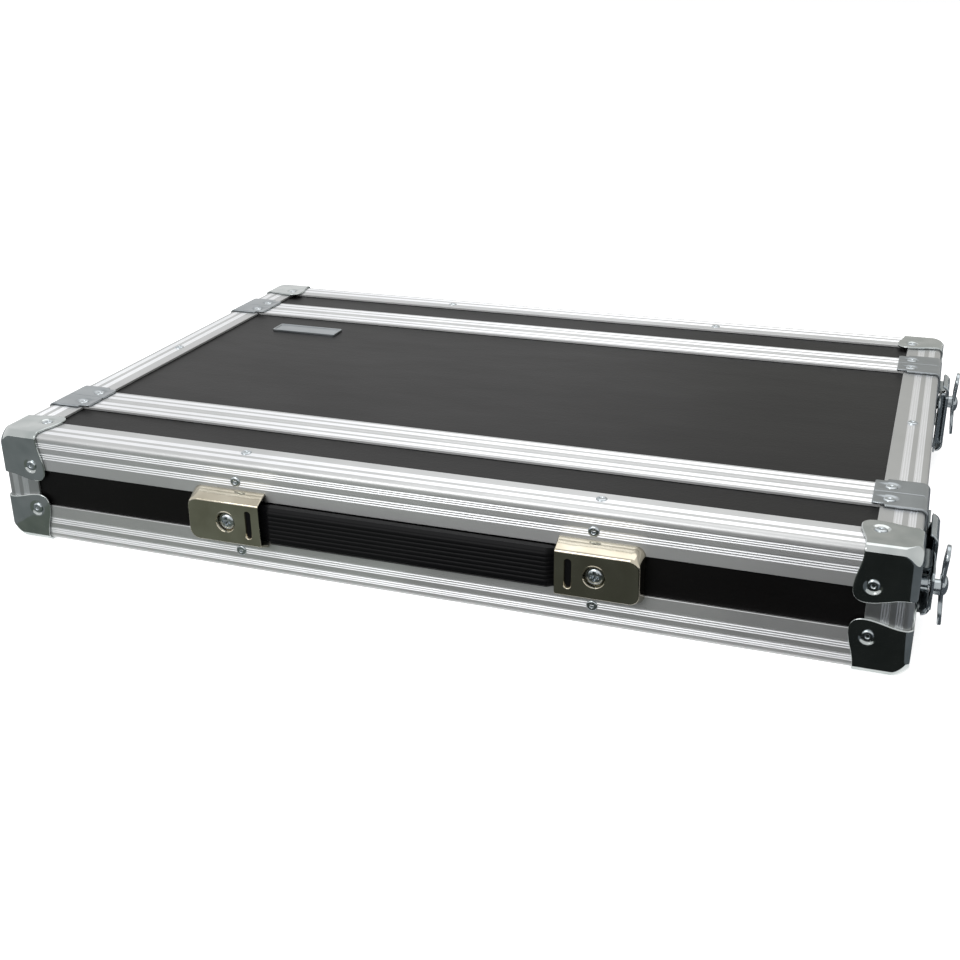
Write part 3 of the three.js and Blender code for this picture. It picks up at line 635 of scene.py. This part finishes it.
# strap handle
handle = {"innerEnd": 85.0, "outerEnd": 129.6, "height": 9.25, "faceHalf": 12.5, "footHalf": 16.5, "footSpread": 0.9,
          "wallRound": 1.9, "endRound": 5.5, "screw": 106.0, "dimple": 6.0, "dimpleFloor": 5.0, "dimpleDepth": 3.2,
          "slot": 92.0, "slotHalf": 6.4, "slotWidth": 1.7, "slotDepth": 2.6, "steel": 1.2}


def capOutline(t, half, end, radius):
    # Half of the cap's outline as x and z: along the long side from the open end, round the closed end's corner,
    # then down to the middle. t runs 0 to 1 over those three stretches.
    straight = end - radius - handle["innerEnd"]
    arc = radius * math.pi / 2
    rest = half - radius
    total = straight + arc + rest
    run = t * total
    angle = np.clip((run - straight) / radius, 0, math.pi / 2)
    x = handle["innerEnd"] + np.minimum(run, straight) + radius * np.sin(angle)
    z = half - radius * (1 - np.cos(angle)) - np.maximum(run - straight - arc, 0)
    return x, z


def capGrid():
    # The cap as rings from its foot to its middle. Going up the wall the outline shrinks with a straight slope, turns
    # over with a radius, and then shrinks across the face towards the middle line; dimple and slot are pressed in.
    t = np.linspace(0, 1, 150)
    rise = handle["height"]
    radius = handle["wallRound"]
    slope = math.atan2(handle["footHalf"] - handle["faceHalf"], rise)
    wall = np.linspace(0, 1, 7)
    turn = np.linspace(0, 1, 7)[1:]
    lift, shrink = [], []
    bendStart = rise - radius * (1 - math.sin(slope))
    for w in wall:
        lift.append(bendStart * w)
        shrink.append(bendStart * w * math.tan(slope))
    for w in turn:
        angle = slope + (math.pi / 2 - slope) * w
        lift.append(bendStart + radius * (math.sin(angle) - math.sin(slope)))
        shrink.append(bendStart * math.tan(slope) + radius * (math.cos(slope) - math.cos(angle)))
    edge = shrink[-1]
    rows = []
    for y, s in zip(lift, shrink):
        spread = handle["footSpread"] * (1 - y / rise)
        end = handle["outerEnd"] + spread - (s - y * math.tan(slope))
        x, z = capOutline(t, handle["footHalf"] - s, end, handle["endRound"])
        rows.append(gridOf(x, -y, z))
    faceX, faceZ = rows[-1][:, 0], rows[-1][:, 2]
    for k in np.linspace(0, 1, 56)[1:]:
        x = faceX + (np.minimum(faceX, handle["outerEnd"] - 12) - faceX) * k
        rows.append(gridOf(x, -rise, faceZ * (1 - k)))
    half = np.stack(rows)
    other = half[:, ::-1].copy()
    other[..., 2] *= -1
    grid = np.concatenate([half, other[:, 1:]], axis=1)
    fromScrew = np.hypot(grid[..., 0] - handle["screw"], grid[..., 2])
    fromSlot = np.hypot(grid[..., 0] - handle["slot"], np.maximum(np.abs(grid[..., 2]) - handle["slotHalf"], 0))
    onFace = grid[..., 1] < -rise + 0.05
    lip = 0.25 * np.exp(-((fromScrew - handle["dimple"]) / 0.7) ** 2)
    pressed = handle["dimpleDepth"] * (1 - smoothStep(fromScrew, handle["dimpleFloor"], handle["dimple"])) - lip
    pressed += handle["slotDepth"] * (1 - smoothStep(fromSlot, handle["slotWidth"] * 0.6, handle["slotWidth"] * 1.3))
    grid[..., 1] += np.where(onFace, pressed, 0)
    grid[..., 1] -= 0.1
    grid[..., 2] += halfHeight
    return grid


def crossHead():
    # A pan head on a polar grid: a low dome, with a cross pressed in where either axis is under half a blade away.
    turn = fullTurn(64)
    radius = np.concatenate([[0.02], np.linspace(0.25, 3.2, 16), [3.6, 4.1, 4.45, 4.6, 4.6]])
    up = np.where(radius < 4.6, 2.3 - 0.06 * radius ** 2 / 1.3 - 0.5 * smoothStep(radius, 3.6, 4.7), 0)
    up[-2] = 1.0
    up[-1] = -0.6
    u = radius[:, None] * np.cos(turn + 0.5)
    v = radius[:, None] * np.sin(turn + 0.5)
    blade = np.minimum(np.abs(u), np.abs(v))
    length = np.maximum(np.abs(u), np.abs(v))
    recess = 1.5 * (1 - smoothStep(blade, 0.35, 0.75)) * (1 - smoothStep(length, 2.1, 2.7))
    return gridOf(u, -(up[:, None] - recess), v)


for side, sign in sides.items():
    grid = capGrid()
    grid[..., 0] *= sign
    cap = makePiece(f"handle_cap_plate_{side}", [(grid, False, False)], "front_lid", looks["cap"],
                    [f"handle_cap_{side}"], merge=0.01, sharp=60)
    addWall(cap, handle["steel"])
    # painted shade: a dark rubber block sits in the bottom of each pressed slot, standing in for the shade inside it
    turn = fullTurn(36)
    stop = gridOf(sign * handle["slot"] + handle["slotWidth"] * np.cos(turn),
                  -handle["height"] + np.array([[handle["slotDepth"] + 0.6], [1.5]]),
                  halfHeight + handle["slotWidth"] * np.sin(turn) + handle["slotHalf"] * np.sign(np.sin(turn)))
    makePiece(f"handle_cap_stop_{side}", [(stop, False, True)], "front_lid", looks["rubber"], sharp=40,
              caps=bothEnds)
    head = crossHead()
    head += [sign * handle["screw"], -handle["height"] + handle["dimpleDepth"] - 0.5, halfHeight]
    makePiece(f"handle_cap_screw_{side}", [(head, False, True)], "front_lid", looks["fastener"],
              [f"handle_screw_{side}"], merge=0.03, sharp=40)

strap = {"halfWidth": 11.3, "back": 1.5, "thickness": 6.2, "bevel": 2.4, "ribs": 7, "ribDepth": 0.32, "end": 88.0,
         "taperFrom": 9.0, "taperTo": 3.5, "coreEnd": 117.0, "coreHalf": 8.0}


def strapProfile():
    # The grip's section as y and z: flat back, bevelled edges, and a front whose fine ribs follow a rectified sine.
    half, bevel = strap["halfWidth"], strap["bevel"]
    front = strap["back"] + strap["thickness"]
    z = np.linspace(-half + bevel, half - bevel, strap["ribs"] * 10 + 1)
    ribs = np.abs(np.sin((z / (half - bevel) + 1) / 2 * strap["ribs"] * math.pi)) ** 0.5
    y = front - strap["ribDepth"] * (1 - ribs)
    side = [[strap["back"] + 0.5, half], [front - bevel * 0.75, half], [front - bevel * 0.2, half - bevel * 0.62]]
    low = [[p[0], -p[1]] for p in side[::-1]]
    return np.array([[strap["back"], half - 0.5], *side, *zip(y[::-1], z[::-1]), *low, [strap["back"], -half + 0.5]])


profile = strapProfile()
# the grip thins and narrows over its last few millimetres, where it runs in under the caps
gripEnd = strap["end"]
taperStart, taperStop = gripEnd - strap["taperFrom"], gripEnd - strap["taperTo"]
halfRun = np.concatenate([np.linspace(0, taperStart, 6), np.linspace(taperStart + 0.5, taperStop, 7),
                          [gripEnd - 0.5, gripEnd]])
stations = np.concatenate([-halfRun[:0:-1], halfRun])
thin = 1 - 0.44 * smoothStep(np.abs(stations), taperStart, taperStop)
narrow = 1 - 0.08 * smoothStep(np.abs(stations), taperStart, gripEnd)
grid = gridOf(stations[:, None], -(strap["back"] + (profile[:, 0] - strap["back"]) * thin[:, None]),
              halfHeight + profile[:, 1] * narrow[:, None])
core = []
for sign in (-1, 1):
    box = np.array([[-1, -1], [1, -1], [1, 1], [-1, 1]], float)
    run = np.array([gripEnd - 1, strap["coreEnd"] - 1, strap["coreEnd"]])
    tongue = gridOf(sign * run[:, None], -(strap["back"] + 1.0 + box[:, 0] * np.array([0.95, 0.95, 0.6])[:, None]),
                    halfHeight + box[:, 1] * (strap["coreHalf"] - np.array([0, 0, 1.0]))[:, None])
    core.append((tongue, False, True))
makePiece("handle_strap_grip", [(grid, False, True), *core], "handle_strap", looks["rubber"],
          ["handle_strap"], sharp=30, caps=[(0, "first"), (0, "last"), (1, "last"), (2, "last")])
print("handle made")

# butterfly latches
# drawn for the front right latch: x out from the case's side, y from the split into the sleeve, z from mid height
latch = {"spindle": -28.0, "baseHalf": 12.5, "baseFrom": -37.0, "baseTo": -15.0, "baseSteel": 1.5, "flange": 6.0,
         "hookLevel": 6.5, "hookSteel": 1.5, "stemHalf": 10.0, "headHalf": 25.0, "headFlat": 18.0, "headCurl": 5.2,
         "stemFrom": -40.0, "lip": 7.0, "lipDrop": 2.3, "window": (-35.75, -26.25), "windowHalf": 5.4,
         "wingLevel": 11.0, "wingThickness": 2.0, "wingSpan": 43.5, "lobe": 6.6, "waist": 4.4,
         "keeperHalf": 18.0, "keeperLength": 24.0, "ribAt": 4.5, "ribHeight": 4.3, "sheet": 1.2,
         "turnSteps": 32}


def hookY(face, end):
    # A face's y in the latch's own frame.
    faceY, way = ends[end]
    return way * ((face.calc_center_median().y - caseCorner[1]) * 1000 - faceY) - caseSize["split"]


def placeLatch(points, end, side):
    # Moves a piece of the front right latch to any of the four.
    face, way = ends[end]
    x, y, z = np.moveaxis(points, -1, 0)
    return gridOf(sides[side] * (halfWidth + x), face + way * (caseSize["split"] + y), halfHeight + z)


def slab(outline, low, high, edge=0.35, axis=0):
    # A plate from a closed outline: rings from the middle of one face, over its rounded edge and the other face.
    centre = outline.mean(0)
    inward = centre - outline
    inward /= np.linalg.norm(inward, axis=1, keepdims=True)
    rows = []
    for shrink, level in ((None, low), (edge, low), (edge * 0.3, low + edge * 0.3), (0, low + edge), (0, high - edge),
                          (edge * 0.3, high - edge * 0.3), (edge, high), (None, high)):
        ring = centre + (outline - centre) * 0.02 if shrink is None else outline + inward * shrink
        rows.append(np.insert(ring, axis, level, axis=1))
    return np.stack(rows)


def wingOutline():
    # A bow-tie blade: its half width is the waist's near the middle and swells with a smooth step to a round lobe at
    # each tip.
    t = fullTurn(96)
    half, lobe = latch["wingSpan"] / 2, latch["lobe"]
    z = half * np.sin(t)
    tip = np.sqrt(np.clip(1 - (np.maximum(np.abs(z) - (half - lobe), 0) / lobe) ** 2, 0, 1))
    width = (latch["waist"] + (lobe - latch["waist"]) * smoothStep(np.abs(z), 5, half - lobe)) * tip
    y = np.sign(np.cos(t) + 1e-9) * width
    return np.stack([y, z], -1)


def spun(profile, y):
    # A profile of [radius, height out of the side] turned about an axis along x.
    turn = fullTurn(latch["turnSteps"])
    return gridOf(profile[:, 1, None], y + profile[:, 0, None] * np.cos(turn), profile[:, 0, None] * np.sin(turn))


def wingPatches():
    blade = slab(wingOutline(), latch["wingLevel"], latch["wingLevel"] + latch["wingThickness"], 0.5)
    # the blade's lobes are pressed outwards a little, as finger grips
    blade[..., 0] += 0.9 * smoothStep(np.abs(blade[..., 2]), 7, 20)
    blade[..., 1] += latch["spindle"]
    top = latch["wingLevel"] + latch["wingThickness"]
    dome = np.linspace(0.02, math.pi / 2, 8)
    boss = np.concatenate([np.stack([5.2 * np.sin(dome), top - 0.3 + 2.3 * np.cos(dome)], -1),
                           [[5.4, top - 0.4], [5.4, top - 0.9]]])
    post = np.array([[0.02, 0.5], [2.3, 0.5], [2.5, 0.7], [2.5, 6.25], [0.02, 6.25]])
    cam = np.array([[0.02, 6.2], [3.7, 6.2], [4.0, 6.5], [4.0, 11.3], [0.02, 11.3]])
    collar = np.array([[5.0, 10.65], [5.6, 10.75], [5.6, 11.1], [0.02, 11.1]])
    axle = latch["spindle"]
    turned = [spun(boss, axle), spun(post, axle), spun(cam, axle - 3), spun(collar, axle)]  # the cam is 3 mm off centre
    return [(grid, False, True) for grid in (blade, *turned)]


def hookPatches():
    # The hook plate as a grid: rows run along y and columns across z. Its half width steps from the stem's to the
    # head's, its ends curl inwards on a circle, and its far rows turn down into the lip. The cam's window splits the
    # stem's columns.
    y = np.concatenate([np.linspace(latch["stemFrom"], -36.0, 4), np.linspace(*latch["window"], 8), [-25.6, -24, -22.6],
                        np.linspace(-21.6, -19.5, 8), np.linspace(-17, latch["lip"] - 0.6, 12)])
    widen = smoothStep(y, -22.4, -19.6)
    start = np.clip((y - latch["stemFrom"]) / 3.0, 0, 1)
    half = (latch["stemHalf"] - 3.0 * (1 - np.sqrt(1 - (1 - start) ** 2))) * (1 - widen) + latch["headHalf"] * widen
    turnDown = np.linspace(0, math.pi / 2, 5)[1:]
    lipY = latch["lip"] - 0.6 + 1.3 * np.sin(turnDown)
    lipX = -1.3 * (1 - np.cos(turnDown))
    lipY, lipX = np.append(lipY, lipY[-1]), np.append(lipX, -latch["lipDrop"] + 0.2)
    side = np.array([-1.0, -0.985, -0.95, -0.9, -0.85, -0.8, -0.76, -0.7, -0.55])
    inner = np.array([-0.31, -0.2, -0.1])
    share = np.concatenate([side, inner, [0], -inner[::-1], -side[::-1]])
    z = half[:, None] * share
    outer = latch["hookLevel"] + latch["hookSteel"]
    radius = latch["headCurl"]
    beyond = np.maximum(np.abs(z) - latch["headFlat"], 0)
    angle = np.minimum(beyond / radius, 1.35)
    curlZ = np.sign(z) * (np.minimum(np.abs(z), latch["headFlat"]) + radius * np.sin(angle))
    curlX = outer - radius * (1 - np.cos(angle))
    plate = gridOf(curlX, y[:, None], curlZ)
    lipShare = np.linspace(-1, 1, len(share)) * (latch["keeperHalf"] - 2)
    lip = gridOf((outer + lipX)[:, None], lipY[:, None], lipShare)
    first = lip[:1].copy()
    first[..., 1], first[..., 0] = y[-1] - 0.4, outer - 0.02
    return plate, np.concatenate([first, lip])


def channelPatches():
    # The base as a channel: a profile across z, flanges and floor, carried along y between rounded ends.
    half, floor, flange, steel = latch["baseHalf"], 0.3, latch["flange"], latch["baseSteel"]
    section = np.array([
        [flange, -half], [flange, -half + steel], [floor + steel + 0.8, -half + steel],
        [floor + steel, -half + steel + 0.8], [floor + steel, half - steel - 0.8], [floor + steel + 0.8, half - steel],
        [flange, half - steel], [flange, half], [floor + 1.2, half], [floor + 0.35, half - 0.35], [floor, half - 1.2],
        [floor, -half + 1.2], [floor + 0.35, -half + 0.35], [floor + 1.2, -half]])
    stations = np.array([latch["baseFrom"], latch["baseFrom"] + 3, latch["baseTo"] - 3, latch["baseTo"]])
    low = np.array([0.62, 1, 1, 0.62])[:, None]
    x = np.minimum(section[:, 0], floor + steel) + np.maximum(section[:, 0] - floor - steel, 0) * low
    grid = gridOf(x, stations[:, None], section[:, 1])
    tube = spun(np.array([[4.5, 1.6], [4.5, 5.2], [4.3, 5.4], [3.0, 5.4], [2.8, 5.2], [2.8, 1.6]]), latch["spindle"])
    return [(grid, False, True), (tube, False, True)]


def keeperPatches():
    # The keeper: a plate along y whose near end is folded up as a rib, with rounded corners at the far end.
    seat = caseSize["cornerGap"] + caseSize["steel"] + 0.3
    rib, length = latch["ribAt"], latch["keeperLength"]
    t = np.linspace(-1, 1, 25)
    y = np.array([1, 3, rib - 0.3, rib, rib + 0.1, rib + 0.4, rib + 1.1, rib + 1.4, rib + 1.5, rib + 1.9, 9, 14,
                  length - 4, length - 1.5, length, length + 1])
    top = seat + latch["hookSteel"]
    peak = seat + latch["ribHeight"]
    x = np.full(len(y), top)
    x[3:9] = [top + 0.6, peak - 0.5, peak - 0.05, peak - 0.05, peak - 0.5, top + 0.6]
    far = np.clip((y - (length - 3)) / 4.0, 0, 1)
    half = latch["keeperHalf"] - 4 * (1 - np.sqrt(np.maximum(1 - far ** 2, 0)))
    return gridOf(x[:, None], y[:, None], half[:, None] * t)


for end in ends:
    for side in sides:
        label = f"latch_{end}_{side}"
        place = lambda grid: placeLatch(grid, end, side)
        makePiece(f"{label}_butterfly", [(place(g), a, b) for g, a, b in wingPatches()], f"{label}_wing_part",
                  looks["latch"], [f"{label}_wing"], sharp=38)
        makePiece(f"{label}_channel", [(place(g), a, b) for g, a, b in channelPatches()], f"{end}_lid",
                  looks["latch"], [f"{label}_base"], sharp=38, caps=bothEnds)
        plate, lip = hookPatches()
        hook = makePiece(f"{label}_hook_plate", [(place(plate), False, False)], f"{label}_hook_part",
                         looks["latch"], [f"{label}_hook"], sharp=38)
        window = bmesh.new()
        window.from_mesh(hook.data)
        near, far = latch["window"]
        inWindow = [f for f in window.faces if near < hookY(f, end) < far
                    and abs((f.calc_center_median().z - caseCorner[2]) * 1000 - halfHeight) < latch["windowHalf"]]
        bmesh.ops.delete(window, geom=inWindow, context="FACES")
        window.to_mesh(hook.data)
        window.free()
        addWall(hook, latch["hookSteel"])
        hookLip = makePiece(f"{label}_hook_lip", [(place(lip), False, False)], f"{label}_hook_part",
                            looks["latch"], sharp=38)
        addWall(hookLip, latch["sheet"])
        keeper = makePiece(f"{label}_keeper_plate", [(place(keeperPatches()), False, False)], "sleeve",
                           looks["latch"], [f"{label}_keeper"], sharp=38)
        addWall(keeper, latch["sheet"])
print("latches made")

# blank nameplate: a pressed plate with a raised rim
plate = {"rim": 1.1, "sunk": 0.45, "round": 1.6}


def roundedRectangle(halfX, halfY, radius, perCorner=7):
    # Points round a rectangle, each corner a quarter circle.
    turn = np.linspace(0, math.pi / 2, perCorner)
    quarter = np.stack([halfX - radius + radius * np.cos(turn), halfY - radius + radius * np.sin(turn)], -1)
    return np.concatenate([quarter, quarter[::-1] * [-1, 1], -quarter, quarter[::-1] * [1, -1]])


plateLow, plateHigh = (np.array(corner) * 1000 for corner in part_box("blank_nameplate"))
plateMiddle = (plateLow + plateHigh) / 2 - caseCorner * 1000
halfPlate = (plateHigh - plateLow) / 2
sunkLevel = 1 - plate["sunk"] / halfPlate[2]
rows = []
for shrink, level in ((0, -1), (0, 0.6), (0.3, 1), (plate["rim"], 1), (plate["rim"] + 0.35, sunkLevel)):
    ring = roundedRectangle(halfPlate[0] - shrink, halfPlate[1] - shrink, plate["round"] - min(shrink, 1.2))
    rows.append(np.insert(ring, 2, level * halfPlate[2], axis=1) + plateMiddle)
makePiece("nameplate_blank_plate", [(np.stack(rows), False, True)], "sleeve", looks["clip"],
          ["blank_nameplate"], sharp=30, caps=bothEnds)

# foam pads inside the lids
foam = {"edge": 1.6, "ripple": 0.18, "fill": 0.9}


def foamPad(low, high):
    # A pad as a rounded section carried along x. Its ends draw in on the same radius as its edges, and its two broad
    # faces ripple by a sum of slow sines, as cut foam does.
    middle, half = (low + high) / 2, (high - low) / 2
    edge = foam["edge"]
    section = roundedRectangle(half[1] - 0.3, half[2] - 0.2, edge, 6)
    along = np.linspace(-half[0] + edge, half[0] - edge, 160)
    tip = np.linspace(0, math.pi / 2, 6)[1:]
    x = np.concatenate([(-half[0] + edge - edge * np.sin(tip))[::-1], along, half[0] - edge + edge * np.sin(tip)])
    drawn = np.concatenate([(edge * (1 - np.cos(tip)))[::-1], np.zeros(len(along)), edge * (1 - np.cos(tip))])
    drawnIn = [np.sign(across) * np.maximum(np.abs(across) - drawn[:, None], 0.05) for across in section.T]
    grid = gridOf(x[:, None], *drawnIn)
    ripple = np.sin(grid[..., 0] / 17.0) + np.sin(grid[..., 0] / 6.3 + grid[..., 2] / 9.0)
    grid[..., 1] += foam["ripple"] * 0.5 * ripple * np.sign(grid[..., 1]) - foam["ripple"] * np.sign(grid[..., 1])
    return grid + middle


for end in ends:
    low, high = (np.array(corner) * 1000 - caseCorner * 1000 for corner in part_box(f"{end}_lid_foam"))
    pad = makePiece(f"{end}_lid_foam_pad", [(foamPad(low, high), False, True)], f"{end}_lid", looks["foam"],
                    [f"{end}_lid_foam"], sharp=60, caps=bothEnds)
print("nameplate and foam made")

# what stays from the model takes its finish
finishes = {"laminate_panel": "laminate", "edging": "aluminium", "corner_cap": "corner", "handle_cap": "cap",
            "latch_steel": "latch", "handle_strap": "rubber", "lid_foam": "foam", "rack_rail": "powder",
            "nameplate": "clip"}
slotOf = {part["node"]: part["material_slot"] for part in frame["record"]["subparts"]}
for name, node in nodes.items():
    node.data.materials.clear()
    node.data.materials.append(looks[finishes[slotOf[name]]])

# studio
def stageSheet(name, corners, material):
    mesh = bpy.data.meshes.new(name)
    mesh.from_pydata(corners, [], [(0, 1, 2, 3)])
    mesh.materials.append(material)
    sheet = addObject(name, mesh)
    sheet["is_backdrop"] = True
    return sheet


def stageCard(name, corners, colour):
    # A glowing card that only reflections see.
    material = clearNodes(bpy.data.materials.new(name))
    glow = addNode(material, "Emission", {"Color": linear(colour), "Strength": 1.0})
    addNode(material, "OutputMaterial", {}, {"Surface": glow.outputs[0]})
    card = stageSheet(name, corners, material)
    card.visible_camera = card.visible_diffuse = card.visible_shadow = False


def stageFloor():
    material, shader = newMaterial("pale_floor", {"Base Color": linear("#FFFFFF"), "Roughness": 0.9})
    rays = addNode(material, "LightPath").outputs
    seen = larger(material, rays["Is Camera Ray"], rays["Is Glossy Ray"])
    material.node_tree.links.new(mapRange(material, seen, 0.0, 0.62), shader.inputs["Emission Strength"])
    shader.inputs["Emission Color"].default_value = linear("#FFFFFF")
    stageSheet("floor", [(-6, -6, -0.0003), (6, -6, -0.0003), (6, 6, -0.0003), (-6, 6, -0.0003)], material)


stageFloor()
# dark cards laid round the case, as a product studio does, so that bright metal has something to reflect
cardEdge = caseCorner[1] - 0.004
floorCards = {  # x from and to, y from and to, colour
    "front_card_left": (-0.27, -0.01, -1.0, cardEdge, "#757C75"),
    "front_card_middle": (-0.01, 0.17, -1.0, cardEdge, "#4E524E"),
    "front_card_right": (0.17, 0.27, -1.0, cardEdge, "#282B2A"),
    "floor_card_right": (0.27, 1.2, -1.0, 0.95, "#70757A"),
    "floor_card_left": (-1.2, -0.27, -1.0, 0.95, "#8A8F90"),
    "floor_card_back": (-0.27, 0.27, 0.186, 1.0, "#8A8F90"),
}
for name, (left, right, near, far, colour) in floorCards.items():
    stageCard(name, [(left, near, 0.0), (right, near, 0.0), (right, far, 0.0), (left, far, 0.0)], colour)
stageCard("back_card", [(-0.25, 1.9, 0.0), (3.2, 1.9, 0.0), (3.2, 1.9, 1.8), (-0.25, 1.9, 1.8)], "#D2D2CE")

world = clearNodes(bpy.data.worlds.new("studio"))
bpy.context.scene.world = world
rays = addNode(world, "LightPath").outputs
seen = larger(world, rays["Is Camera Ray"], rays["Is Transmission Ray"])
strength = mapRange(world, larger(world, seen, rays["Is Glossy Ray"]), 0.55, 1.0)
back = addNode(world, "Background", {"Color": (1, 1, 1, 1)}, {"Strength": strength})
addNode(world, "OutputWorld", {}, {"Surface": back.outputs[0]})


def softLamp(name, place, aim, size, power):
    data = bpy.data.lights.new(name, "AREA")
    data.shape = "RECTANGLE"
    data.size, data.size_y = size
    data.energy = power
    lamp = addObject(name, data)
    lamp.location = place
    direction = np.array(aim, float) - np.array(place, float)
    lamp.rotation_euler = mathutils.Vector(direction).to_track_quat("-Z", "Y").to_euler()


softLamp("top_lamp", (0.1, 0.5, 1.5), (0, 0, 0), (1.6, 1.2), 6.5)
softLamp("front_lamp", (-0.5, -1.6, 1.0), (0, 0, 0), (1.0, 0.8), 11)

camera = addObject("camera", bpy.data.cameras.new("camera"))
camera.location = (0.25058, caseCorner[1] - 0.572905, caseCorner[2] + 0.334824)
camera.rotation_euler = [math.radians(a) for a in (66.897, 0.680, 19.710)]
camera.data.sensor_width = 36
camera.data.lens = 48.24
camera.data.clip_start = 0.01
bpy.context.scene.camera = camera
bpy.context.scene.view_settings.view_transform = "Standard"

low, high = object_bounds()
